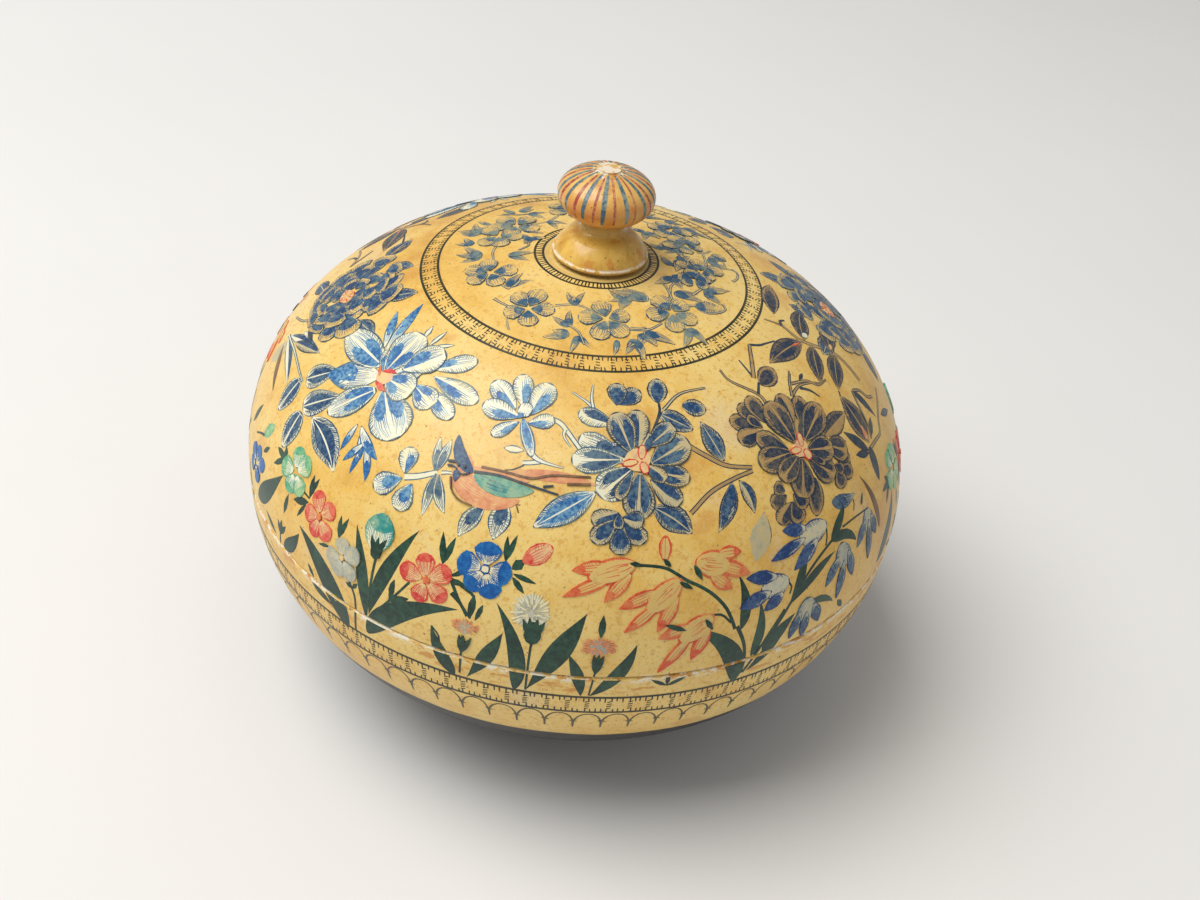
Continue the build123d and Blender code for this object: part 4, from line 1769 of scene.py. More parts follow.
# One flower of the crown with leaves and a bud.
CROWN_FLOWER = Motif("crown_flower", Zone.CROWN, (
    Layer(SANDY, (
        tendril((2.5, 6), (6, 9.5), (10, 10.2)),
        tendril((-12, 3), (-8, 0.8), (-4, 1)),
        tendril((3, 6), (4.4, 9), (5, 11.5), width=0.6),
        tendril((4, 3), (5.4, 2.6), (6.4, 2.2)),
        *trumpet((-1.6, 8), ((-7.3, 14.5), (-4.4, 13.8)), 3),
        *trumpet((-4.6, 10.6), ((-9.3, 8.2), (-9.8, 11.4)), 1.8),
        *trumpet((-9.5, 0.5), ((-9.3, -3.8), (-5.5, -5), (-12.4, -2)), 2.4),
        *trumpet((-12.5, 0), ((-14, -5.5), (-16.4, -2.6)), 1.8),
        *trumpet((0.2, -2.5), ((0.8, -7.8), (-4.3, -6.4)), 2),
        Petal((6, 2.1), (11.7, -0.6), 4.2, Shade.WHOLE, Form.EGG, 0, 0.4),
        *trumpet((4.5, 7), ((9.7, 5), (9.2, 2.2)), 2.2),
        *trumpet((13, 4.5), ((15.8, 6), (16.4, 3.2)), 1.5),
    ), 5),
    Layer(SANDY, (
        *blossom((0, 2.6), ((0, 8.2, 5), (4.8, 4.3, 4.4), (3, -2, 4.4), (-3.2, -2.4, 4.4),
                            (-5.7, 4, 4.4)), Shade.WHOLE),
        *blossom((12.5, 9.2), ((10, 12, 4), (9, 9, 3), (13.5, 5.6, 3.6), (16.6, 8.4, 4), (14.6, 12.6, 4)),
                 Shade.WHOLE, 0.7),
    ), 5),
))

# Two flowers of the crown at the left, with leaf clusters under them.
CROWN_SPRAY = Motif("crown_spray", Zone.CROWN, (
    Layer(SANDY, (
        tendril((-4, 0), (0, -1.4), (4, -1)),
        tendril((12.5, 1), (14, 1.8), (15, 3)),
        tendril((-10, -2), (-12.4, -2.6), (-14, -1.4)),
        *trumpet((2, -3.6), ((-3, -8), (0.5, -9.4), (4, -8.4)), 2.2),
        *trumpet((-9.5, 4), ((-12, 8), (-13.8, 4.8), (-8, 8.6)), 2.2),
        *trumpet((-8, -5.5), ((-15, -7), (-10.5, -10), (-13, -4)), 2.2),
        *trumpet((-3.5, -6), ((-4.8, -10.4), (-7, -8.6)), 1.8),
        *trumpet((2.4, 2), ((1, 7.4), (4.4, 6.6)), 2.0),
        Petal((10.6, 4.6), (14.8, 2.4), 3, Shade.CORE, Form.EGG),
    ), 5),
    Layer(SANDY, (
        *blossom((8.9, -1.3), ((8, 4.4, 4.5), (13.9, 0.7, 4.4), (12.4, -5.9, 4.4), (7.2, -6.8, 4.2),
                               (4, -2.2, 4.2)), Shade.WHOLE),
        *blossom((-6.4, -1), ((-10.4, 3.2, 4.2), (-6, 4.4, 4.2), (-1.5, 0.4, 4.2), (-2.6, -4.6, 4.2),
                              (-10.9, -4.2, 4.2)), Shade.WHOLE),
    ), 5),
))

# The flower of the crown between those two, with its pronged leaves and a bud.
CROWN_BUD = Motif("crown_bud", Zone.CROWN, (
    Layer(SANDY, (
        tendril((7, -3), (8.6, -3.4), (10, -3)),
        tendril((10.5, 3), (12, 1.2), (14, 0)),
        tendril((-8, 3), (-4, 1), (0, -1)),
        tendril((-12.8, -0.8), (-11.5, -3), (-9.5, -4.3), (-8, -3.6), width=0.6),
        *trumpet((-3.5, 8), ((-7.6, 11.2), (-7, 5.4), (-2.6, 4)), 2.4),
        *trumpet((-6, 0.8), ((-8.4, -3.4), (-1.8, -4.9)), 2.4),
        *trumpet((9.6, 7.8), ((5.8, 6.2), (6.3, 10.2), (12.6, 9.4)), 2.0),
        *trumpet((1.2, 8.4), ((3.4, 4.6), (4.6, 10.8)), 2.0),
        Petal((9.8, -1.6), (13.4, -2.3), 3.6, Shade.WHOLE, Form.OVAL, 0, 0.5),
    ), 5),
    Layer(SANDY, blossom((1.8, 2), ((-1.3, 4.2, 3.6), (3.2, 7.6, 3.4), (7, 3, 4.4), (5.4, -2.6, 4.2),
                                    (0, -1.2, 3.0)), Shade.WHOLE), 5),
))

# A thistle between broad blades, and the blue flower beside it.
THISTLE = Motif("thistle", Zone.GARDEN, (
    Layer(PEARL, (
        Blade((-3.9, -16.6), (-8.8, 4.1), 3.4, Paint.GREEN, Form.BLADE, -0.105, Paint.FERN),
        Blade((-14.0, -16.4), (-6.9, -2), 3.2, Paint.GREEN, Form.SWORD, -0.02, Paint.FERN),
        Blade((-16.6, -16.6), (-21.8, -4.9), 3.5, Paint.GREEN, Form.BLADE, 0.05, Paint.FERN),
        Blade((-1.7, -16.3), (8.5, 4.6), 4.6, Paint.GREEN, Form.SWORD, 0, Paint.FERN),
        Blade((9.6, -16.3), (5.9, -4.8), 2.6, Paint.GREEN, Form.LEAF, -0.05),
        Blade((11.6, -0.6), (11.6, 4.4), 1.5, Paint.GREEN, Form.LEAF),
        Blade((11.3, -16.3), (19.1, -1.8), 3.3, Paint.GREEN, Form.LEAF, -0.075),
        Stem(((-1.25, -2.8), (-1.45, -6), (-1.6, -16)), 0.5, Paint.GREEN, None, 0.45),
        Stem(((-14.8, -5), (-15, -8), (-15.4, -15.4)), 0.6, Paint.GREEN, None, 0.4),
        Stem(((11.8, -5), (11.6, -9), (11.2, -16)), 0.5, Paint.GREEN, None, 0.4),
    ), 3),
    Layer(PEARL, (
        Blade((-1.9, -0.4), (-2.1, 7), 6.8, Paint.MIST, Form.OVAL),
        Blade((-14.6, -4.4), (-14.6, -1.2), 3.6, Paint.GREY, Form.OVAL),
        Blade((11.6, -4.6), (11.6, -0.8), 4.4, Paint.GREY, Form.OVAL),
    ), 1),
    Layer(PEARL, (
        *tuft((-2, 3.4), 8.2, 8.4, 46, Paint.CREAM, 3),
        *tuft((-2, 3.2), 6.4, 6.6, 26, Paint.GREY, 4),
        *tuft((-14.6, -2.5), 6.4, 3.8, 26, Paint.SALMON, 5),
        *tuft((11.6, -2.6), 7.8, 4.8, 30, Paint.SALMON, 6),
    ), 3),
    Layer(PEARL, (
        Blade((-1.3, -3.4), (-1.3, 1.6), 3.4, Paint.GREEN, Form.EGG),
        *ray((-1.3, -2.4), ((-3.4, 1.9), (-2.2, 2.4), (-0.6, 2.4), (0.8, 1.9)), 1.5),
        *ray((-15, -9.2), ((-15.6, -4.9), (-14.6, -4.8), (-13, -4.9)), 1.2),
        *ray((11.6, -9.4), ((10.8, -4.3), (11.8, -4.2), (12.8, -4.5)), 1.2),
    ), 4),
))

BLUE_POSY = Motif("blue_posy", Zone.GARDEN, (
    Layer(SKY, (
        *ray((-8.3, 12.2), ((-8.7, 17.2), (-6.8, 17.6)), 1.2),
        Blade((-6.8, 11), (-4.5, 13.1), 2.2, Paint.GREEN, Form.LEAF),
        Blade((-6.5, 10.2), (-1.8, 9), 1.1, Paint.GREEN, Form.LEAF),
        Blade((-6.5, 9.6), (-3.8, 6.7), 1.3, Paint.GREEN, Form.LEAF),
        Blade((-15.5, 9), (-18, 7.7), 1.2, Paint.GREEN, Form.LEAF),
        Stem(((-18, 6), (-15.2, 5.8), (-13.4, 4.2)), 0.9, Paint.GREEN, None, 0.6),
        Stem(((-18, 3.8), (-15.8, 2), (-14.4, -0.3)), 1, Paint.GREEN, None, 0.4),
        Blade((-13.4, 4.3), (-13.8, -0.8), 1.5, Paint.GREEN, Form.LEAF),
        Blade((-11.3, 3), (-12.6, -0.8), 1.1, Paint.GREEN, Form.LEAF),
    ), 2),
    Layer(SCARLET, (
        Petal((-5, 12.7), (0.4, 16.4), 4, Shade.WHOLE, Form.OVAL, 0, 0.34),
    ), 1),
    Layer(SKY, blossom((-11.9, 10.1), ((-17.9, 10.5, 5.2), (-15, 5.5, 4.6), (-9.7, 4.6, 4.8), (-6.6, 9.8, 5),
                                       (-12, 15.4, 5.8))), 5),
    Layer(SKY, (
        Petal((-12.9, 10.1), (-10.9, 10.1), 1.9, Shade.NONE, Form.OVAL),
    ), 1),
))

# A red flower, a pale one and a blue-green bud among blades.
RED_POSY = Motif("red_posy", Zone.GARDEN, (
    Layer(SCARLET, (
        Blade((-0.8, -11), (-17.2, 5.5), 5.4, Paint.GREEN, Form.BLADE, -0.11, Paint.FERN),
        Blade((4.2, -4.6), (-1.8, 14.2), 2.9, Paint.GREEN, Form.LEAF, -0.06, Paint.FERN),
        Blade((4.9, -3.4), (12.2, 19.4), 3.2, Paint.GREEN, Form.LEAF, 0.04, Paint.FERN),
        Stem(((4.7, 10), (4.7, 3), (4.3, -4)), 0.6, Paint.GREEN, None, 0.5),
        Stem(((-1.5, 3), (1, -0.5), (1.6, -4)), 0.6, Paint.GREEN, None, 0.5),
        Stem(((6.5, -2), (9, 0.6), (9.5, 3.2), (9.8, 7.3)), 0.6, Paint.GREEN, None, 0.4),
        *ray((9.5, 2.4), ((9.9, 7.7), (13.6, 4.8)), 1.3),
        *ray((0.4, 0.6), ((-1.4, 1.2), (1.6, 2.4)), 1),
        *ray((-16.3, 12.5), ((-17.4, 17.6), (-15.7, 17.4)), 1.2),
        *ray((-5.2, 9.3), ((-6.1, 14), (-4.1, 14.3)), 1.3),
        Blade((-7, 6.3), (-10.2, 5.2), 0.9, Paint.GREEN, Form.LEAF),
        Blade((-12.8, -1.4), (-10.8, -3.8), 1.1, Paint.GREEN, Form.LEAF),
        Stem(((1.4, -10), (1.5, -4.6)), 0.5, Paint.GREEN, None, 0.6),
        Blade((-11.5, -5.5), (-5.2, -7.4), 1.8, Paint.GREEN, Form.LEAF),
    ), 2),
    Layer(SCARLET, blossom((-11.5, 10.7), ((-14.4, 15.5, 4.4), (-16.4, 9.4, 4.2), (-12.5, 5.8, 3.7),
                                           (-7.5, 7.2, 4.4), (-8.2, 14.4, 4.2))), 5),
    Layer(PEARL, blossom((-3, 6), ((-4, 10, 4.2), (-7.3, 4.5, 4), (-4, 1.6, 3.8), (0.8, 2.6, 3.8),
                                   (1, 8.8, 4.2))), 5),
    Layer(Palette(Paint.CREAM, Paint.TEAL, Paint.TEAL), (
        Petal((4.3, 11.2), (3.6, 19.2), 7, Shade.TIP, Form.OVAL, 0, 0.5),
    ), 1),
    Layer(SCARLET, (
        Blade((4.6, 9.8), (4.4, 13), 2.6, Paint.GREEN, Form.EGG),
        *ray((4.6, 10.4), ((2.6, 14.2), (4.3, 14.4), (6.2, 14.8)), 1.3),
        Blade((-3.6, 6), (-2.4, 6), 1.2, Paint.ROSE, Form.OVAL),
        Blade((-12.3, 10.7), (-10.8, 10.7), 1.3, Paint.ORANGE, Form.OVAL),
    ), 4),
))

# The second red flower, with its bud, curled leaves and a blade.
RED_FLOWER = Motif("red_flower", Zone.GARDEN, (
    Layer(SCARLET, (
        Blade((-20.6, -24.4), (0.9, -7.2), 5.2, Paint.GREEN, Form.BLADE, 0.12, Paint.FERN),
        *ray((-3.8, 0.9), ((-5.2, 6.8), (-2.5, 6.6)), 1.4),
        Blade((-1.8, -0.8), (0.9, 0.9), 1, Paint.GREEN, Form.LEAF),
        Blade((-1.7, -1.2), (3.4, -3.6), 1.1, Paint.GREEN, Form.LEAF, 0.08),
        Stem(((-1.5, -1.6), (1, -5.5), (3.5, -8.3)), 0.7, Paint.GREEN, None, 0.5),
        Blade((3.5, -3), (3.4, -8.4), 1.5, Paint.GREEN, Form.LEAF),
        Stem(((-9.8, -5), (-12.5, -9), (-17.5, -16)), 0.5, Paint.GREEN, None, 0.5),
        Blade((-14, -10), (-13.2, -5.8), 1.4, Paint.GREEN, Form.LEAF),
        Blade((-13.8, -10.3), (-9.5, -8.7), 1.1, Paint.GREEN, Form.LEAF),
        Stem(((-4.2, -13), (-2.5, -15), (-2.3, -18)), 0.5, Paint.GREEN, None, 0.4),
    ), 2),
    Layer(SCARLET, blossom((-6.4, -3.2), ((-7.7, 1.9, 4.3), (-12.4, -2.7, 4.4), (-7.9, -8.4, 4),
                                          (-2, -6.4, 4.3), (-1.8, 0.2, 4.3))), 5),
    Layer(SCARLET, (
        Blade((-7.2, -3.2), (-5.6, -3.2), 1.4, Paint.ORANGE, Form.OVAL),
    ), 1),
))

# Red columbines on one long stem.
COLUMBINES = Motif("columbines", Zone.GARDEN, (
    Layer(COLUMBINE, (
        Stem(((1.5, 4.7), (4, 4.6), (7, 4.2), (9, 3.4), (12, 1.5), (15, 0), (18, -2), (21, -5), (23, -8.2),
              (24.3, -10.8)), 0.55, Paint.GREEN, None, 0.8),
        Petal((7.5, 5.3), (7.6, 10.1), 2.8, Shade.TIP, Form.OVAL, reach=0.12),
    ), 2),
    Layer(COLUMBINE, (
        *columbine((2.1, 5), (-6, 2.5), 5, (((-2.4, 4.6), (-10.2, 3.5), 3), ((1.2, 3.4), (-3.9, -2.4), 3),
                                       ((-1.7, 2.9), (-11.8, -1.7), 2.6))),
        *columbine((11, 1.9), (5.2, -3.7), 5.4, (((6.6, -0.1), (-1, -3.7), 3), ((10.4, -1.2), (6.8, -9), 3.2),
                                            ((7.1, -2.6), (0.3, -8.8), 2.6))),
    ), 5),
    Layer(COLUMBINE, (
        Blade((8.7, 4.3), (7.1, 5.8), 1, Paint.GREEN, Form.LEAF),
        Blade((10.4, 1.3), (13.3, -0.2), 1.1, Paint.GREEN, Form.LEAF),
        Blade((3, 4.7), (0.6, 5.1), 1, Paint.GREEN, Form.LEAF),
    ), 1),
))

# More columbines, with blades and a grey bud, on the right.
COLUMBINE_BED = Motif("columbine_bed", Zone.GARDEN, (
    Layer(PEARL, (
        Stem(((6.3, -7), (8.5, -12), (9.6, -17), (9.8, -21.6)), 0.9, Paint.GREEN, None, 0.6),
        Stem(((-0.5, -3.3), (2.5, -3.5), (4.8, -5.8)), 0.5, Paint.GREEN, None, 0.5),
        Blade((8.4, -24), (-3.2, -5.6), 4.6, Paint.GREEN, Form.BLADE, -0.15, Paint.FERN),
        *ray((-7.6, -20.4), ((-7.4, -16.2), (-11.2, -18.0), (-3.6, -18.2)), 1.1),
        Blade((7.3, -8), (6.6, 3.7), 2.3, Paint.GREEN, Form.BLADE, -0.08),
        Blade((11.2, -16.6), (11.3, -2.5), 2.3, Paint.GREEN, Form.BLADE, -0.07),
        Stem(((18, -6.5), (15, -11), (12.3, -16.5), (10.2, -21.4)), 0.8, Paint.GREEN, None, 0.6),
        Blade((11.0, -21.4), (19.4, -9.8), 3, Paint.GREEN, Form.LEAF, -0.05),
        Blade((10.3, 5.6), (14.3, 14.6), 5, Paint.STONE, Form.LEAF, 0, Paint.GREY),
    ), 3),
    Layer(COLUMBINE, (
        *columbine((-2.7, 7.8), (3.8, 6.2), 5.6, (((2.2, 8.7), (7.4, 8.3), 2.8), ((0.2, 5.2), (4.8, 1.5), 3.2),
                                             ((1.5, 6.9), (9, 3.7), 3.2))),
        *columbine((1, -3.2), (-5.2, -7.5), 5.4, (((-3.4, -4.6), (-10.4, -6.9), 3), ((0.2, -5.4), (-3.3, -13.3), 3.2),
                                             ((-3.1, -6), (-10.1, -15.9), 2.6))),
    ), 5),
    Layer(COLUMBINE, (
        Blade((-2.8, 7.3), (-1.4, 4.3), 1.2, Paint.GREEN, Form.LEAF),
        Blade((-4.7, -5.6), (-9, -3.9), 1.1, Paint.GREEN, Form.LEAF),
        Blade((-0.9, -3.7), (0.8, -6.4), 1.2, Paint.GREEN, Form.LEAF),
    ), 1),
))

# Blue bell flowers on branching stems.
BELLS = Motif("bells", Zone.GARDEN, (
    Layer(BELL, (
        Stem(((-8.5, -18), (-4, -12.5), (1, -6), (6, -1.5), (12, 1.5), (16.4, 2.6)), 0.8, Paint.GREEN, None, 0.6),
        Stem(((-0.8, -2), (0.2, -3.5), (-0.3, -5)), 0.45, Paint.GREEN, None, 0.4),
        Stem(((11.6, 5), (11.2, 2.8), (10.5, 1.4)), 0.45, Paint.GREEN, None, 0.4),
        Blade((4.7, 2.2), (0, -6.6), 2.2, Paint.GREEN, Form.LEAF, 0.05),
        Blade((0.4, -7.4), (13.4, -0.8), 2.2, Paint.GREEN, Form.LEAF, 0.06),
        Blade((4.4, -9.6), (13.6, -13.2), 1.8, Paint.GREEN, Form.LEAF, 0.12),
        Blade((-11.9, -9), (-11.9, 2.6), 2.4, Paint.GREEN, Form.BLADE, -0.09),
        Blade((-9.2, -18), (-7.6, -4.3), 2.3, Paint.GREEN, Form.BLADE, -0.06),
        Blade((-6.2, -18), (1.4, -10.4), 4, Paint.GREEN, Form.BLADE, 0.04, Paint.FERN),
        Blade((12.3, 1.4), (18.4, 6.6), 2, Paint.GREEN, Form.LEAF),
        Blade((12, 1.6), (18.6, 0.2), 2, Paint.GREEN, Form.LEAF, 0.1),
        Blade((15.6, -14), (18.4, -17.4), 1.6, Paint.GREEN, Form.LEAF),
    ), 2),
    Layer(BELL, (
        *bell((12, 5.7), (3.4, 4.8), 5, (((6, 6.7), (-0.2, 8), 3), ((8.6, 3.8), (1.1, -0.4), 3.2),
                                         ((5.2, 5), (-4.2, 3.2), 2.6)), 0.82),
        *bell((-0.2, -2), (-7.4, -2.2), 5.4, (((-3, -0.2), (-10.4, 1.5), 3), ((-1.8, -4), (-6.8, -6.7), 3),
                                              ((-4.8, -2.8), (-12.5, -4.4), 3.3)), 0.82),
    ), 4),
    Layer(DULL_BELL, bell((4.5, -7.8), (4.8, -14), 5.8, (
        ((2.9, -10.4), (0.6, -17.2), 2.8), ((6.6, -10), (9.1, -16.3), 3), ((4.6, -11.2), (4.5, -18.6), 2.6),
    ), 0.82), 4),
))

BELLS_RIGHT = Motif("bells_right", Zone.GARDEN, (
    Layer(DULL_BELL, (
        Stem(((-4.6, -3.8), (0, -4), (5, -4.6)), 0.5, Paint.GREEN, None, 0.35),
        Stem(((1.2, -0.4), (1, -1.6), (0.2, -2.5)), 0.35, Paint.BROWN, None, 0.25),
        Blade((-8.8, -4.9), (-2.4, -0.1), 2.2, Paint.GREEN, Form.EGG),
        Blade((-8, -5), (-0.8, -8.9), 2.3, Paint.GREEN, Form.EGG, 0.16),
        Blade((3.5, -2.8), (5.1, -0.7), 0.8, Paint.GREEN, Form.FLAME),
        Blade((10.2, -12), (6, 2.5), 1.8, Paint.BROWN, Form.BLADE, -0.06),
        Petal((2.4, 0.4), (-5.5, 2.2), 3.2, Shade.TIP, Form.ROUND, 0.08, 0.6),
    ), 3),
    Layer(DULL_BELL, (
        *bell((-6, -6.7), (-6, -13), 5.6, (((-7.6, -9.4), (-12.8, -14.8), 2.8), ((-4.2, -9.4), (-3, -17.2), 2.8),
                                           ((-6, -11), (-8.9, -20.6), 2.8)), 0.8),
        *bell((5.2, -4.4), (4.6, -10), 5, (((3.9, -6.4), (-0.9, -10.9), 2.6), ((6.4, -6.4), (7.8, -12.2), 2.8),
                                           ((5, -7), (3.9, -16.8), 2.6)), 0.8),
    ), 4),
))

# A green flower, small calyxes and dark blades at the left.
JADE_POSY = Motif("jade_posy", Zone.GARDEN, (
    Layer(JADE_BLOOM, (
        Blade((-18.6, -14), (-7.2, -1), 4.8, Paint.GREEN, Form.BLADE, -0.05, Paint.FERN),
        Blade((-2.6, -16.4), (3, -8.6), 3.4, Paint.GREEN, Form.BLADE, -0.08, Paint.FERN),
        Blade((-3.5, -7.9), (-3.3, -2.9), 1.5, Paint.GREEN, Form.LEAF),
        *ray((-8.4, 2), ((-12.9, 2.3), (-12.3, -1.3), (-9.9, 4.2)), 1.5),
        *ray((3, 0.8), ((2.1, 5), (3.8, 5)), 1.3),
        Blade((3.5, -0.6), (-1.3, -2.9), 1.8, Paint.GREEN, Form.LEAF),
        Blade((3, -1.2), (1.2, -5.4), 1, Paint.GREEN, Form.LEAF),
        Stem(((1, 0.4), (3.4, 0.2)), 0.5, Paint.GREEN, None, 0.4),
        Stem(((-4.3, -13.4), (-4.3, -16.4)), 0.5, Paint.GREEN, None, 0.4),
        *ray((-4.3, -14), ((-5.6, -10.9), (-4, -10), (-2.1, -10.4)), 1.4),
        Blade((-6.6, -15.6), (-12.2, -13.3), 1.3, Paint.GREEN, Form.LEAF),
    ), 2),
    Layer(JADE_BLOOM, blossom((-3.4, 2.2), ((-5.6, 6.8, 4.4), (-9, 0.8, 4.6), (-4, -2.7, 4.2),
                                            (1, -0.8, 4.2), (-0.1, 6.2, 4.8))), 5),
))


# Leaves and two buds on the turn of the shoulder at the left, over a small garden clump.
LEFT_LEAVES = Motif("left_leaves", Zone.SHOULDER, (
    Layer(MIXED_BRIGHT, (
        Petal((-21, 8.6), (-3.6, 15), 2.8, Shade.HALF, Form.LEAF, 0.03),
        Petal((-22, 8), (-4.6, 5.2), 2.6, Shade.HALF, Form.LEAF, 0.05),
        Stem(((-22, 8.2), (-12, 9.4), (-0.6, 9)), 0.8, Paint.STEEL, Paint.CREAM, 0.5),
        Blade((-20, 6.2), (-8.6, 0.8), 1.6, Paint.BROWN, Form.LEAF),
        Petal((-16.5, 12.8), (-9, 14.2), 1.8, Shade.NONE, Form.LEAF),
        Petal((-1.7, 8.8), (-1.5, 0.7), 5.8, Shade.BOTH, Form.EGG),
        Petal((6.2, 5.8), (7.3, -2.6), 6, Shade.BOTH, Form.EGG),
    ), 4),
))

LEFT_CLUMP = Motif("left_clump", Zone.GARDEN, (
    Layer(SKY, (
        Blade((-2.2, -6.4), (1, -1.8), 3, Paint.JADE, Form.OVAL),
        Stem(((-1.8, -6.2), (-4, -7.2), (-6.8, -9)), 0.6, Paint.GREEN, None, 0.4),
        Blade((0.6, -8.8), (3, -6), 1.4, Paint.GREEN, Form.LEAF),
        Blade((-12.5, -10), (-9.5, -3.4), 1.8, Paint.GREEN, Form.LEAF),
        Blade((-3, -26), (-9, -18), 2.6, Paint.GREEN, Form.BLADE, 0.05),
    ), 2),
    Layer(SKY, blossom((-2, -13.8), ((3.6, -10.8, 3.6), (-1, -9, 3.8), (-6.4, -11.4, 4), (-5.6, -16.4, 4),
                                     (1.6, -17, 4))), 5),
))


# ---------------------------------------------------------------- shells


@dataclass
class Shell:
    """A pressed paper shell turned from its section."""

    name: str
    body: Body
    form: BoxForm
    outside: bpy.types.Material
    inside: bpy.types.Material
    turn_steps: int = 384
    inner_share: float = 0.975
    chip_depth: float = 0.35
    chip_reach: float = 1.1
    seam_height: float = 50.15

    def section(self) -> list[Point]:
        """Closed section of the shell, as (radius, height) points."""
        raise NotImplementedError

    def inset(self, angle: float) -> Point:
        """Point of the outer form at an angle, drawn in to leave room for paint."""
        radius, height = self.form.at(angle)
        out = self.form.outward(Vector((radius, 0, height)))
        return radius - out.x * self.form.paint_room, height - out.z * self.form.paint_room

    def build(self) -> bpy.types.Object:
        """Turns the section, chips its rim and dresses both sides."""
        shape = bmesh.new()
        corners = [shape.verts.new((radius, 0, height)) for radius, height in self.section()]
        edges = [shape.edges.new(pair) for pair in zip(corners, corners[1:] + corners[:1])]
        bmesh.ops.spin(
            shape, geom=[*corners, *edges], axis=(0, 0, 1), cent=(0, 0, 0), angle=2 * pi,
            steps=self.turn_steps, use_merge=True,
        )
        bmesh.ops.remove_doubles(shape, verts=shape.verts, dist=0.0005)
        bmesh.ops.recalc_face_normals(shape, faces=shape.faces)
        self.chip(shape)
        for face in shape.faces:
            face.material_index = int(self.form.share(face.calc_center_median()) < self.inner_share)
        bmesh.ops.scale(shape, vec=(MM, MM, MM), verts=shape.verts)
        piece = finished(f"{self.name}_painted", shape, 40.0)
        piece.data.materials.append(self.outside)
        piece.data.materials.append(self.inside)
        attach(piece, self.body.value)
        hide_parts(self.name)
        return piece

    def chip(self, shape: bmesh.types.BMesh) -> None:
        """Wears the outer edge of the rim unevenly, where the two shells rub."""
        for vert in shape.verts:
            near = 1 - abs(vert.co.z - self.seam_height) / self.chip_reach
            if near <= 0 or self.form.share(vert.co) < self.inner_share:
                continue
            turn = atan2(vert.co.y, vert.co.x)
            rub = sin(7 * turn + 1.3) + sin(17 * turn) + sin(41 * turn + 0.4) + sin(97 * turn + 2.2)
            depth = self.chip_depth * near * max(rub - 1.0, 0) / 3
            vert.co.x -= cos(turn) * depth
            vert.co.y -= sin(turn) * depth


@dataclass
class LidShell(Shell):
    """The dome, thinned inside its rim to the socket that finds the collar."""

    bottom: float = 50.3
    edge_round: float = 0.6
    seat_radius: float = 8.6
    hole_radius: float = 2.65
    inner_radius: float = 70.5
    inner_rise: float = 47.0
    backing_radius: float = 9.5
    socket_radius: float = 70.45
    socket_top: float = 59.2
    outside_rows: int = 104
    inside_rows: int = 34

    def section(self) -> list[Point]:
        """Closed section of the shell, as (radius, height) points."""
        form = self.form
        rim = form.radius_beside(self.bottom) - form.paint_room
        points = rounded_corner((rim, self.bottom), (-1, 0), (0, 1), self.edge_round)
        seat = form.height_over(self.seat_radius)
        last = form.angle_over(self.seat_radius)
        points += [self.inset(last * row / self.outside_rows) for row in range(self.outside_rows + 1)]
        inner = BoxForm(self.inner_radius, form.widest_height, self.inner_rise, form.dome_fullness)
        backing = inner.height_over(self.backing_radius)
        points += [
            (self.seat_radius, seat), (self.hole_radius, seat),
            (self.hole_radius, backing), (self.backing_radius, backing),
        ]
        top = inner.angle_over(self.backing_radius)
        ledge = inner.angle_beside(self.socket_top)
        for row in range(1, self.inside_rows + 1):
            points.append(inner.at(top + (ledge - top) * row / self.inside_rows))
        points += [(self.socket_radius, self.socket_top)]
        return points + rounded_corner((self.socket_radius, self.bottom), (0, 1), (1, 0), 0.5)


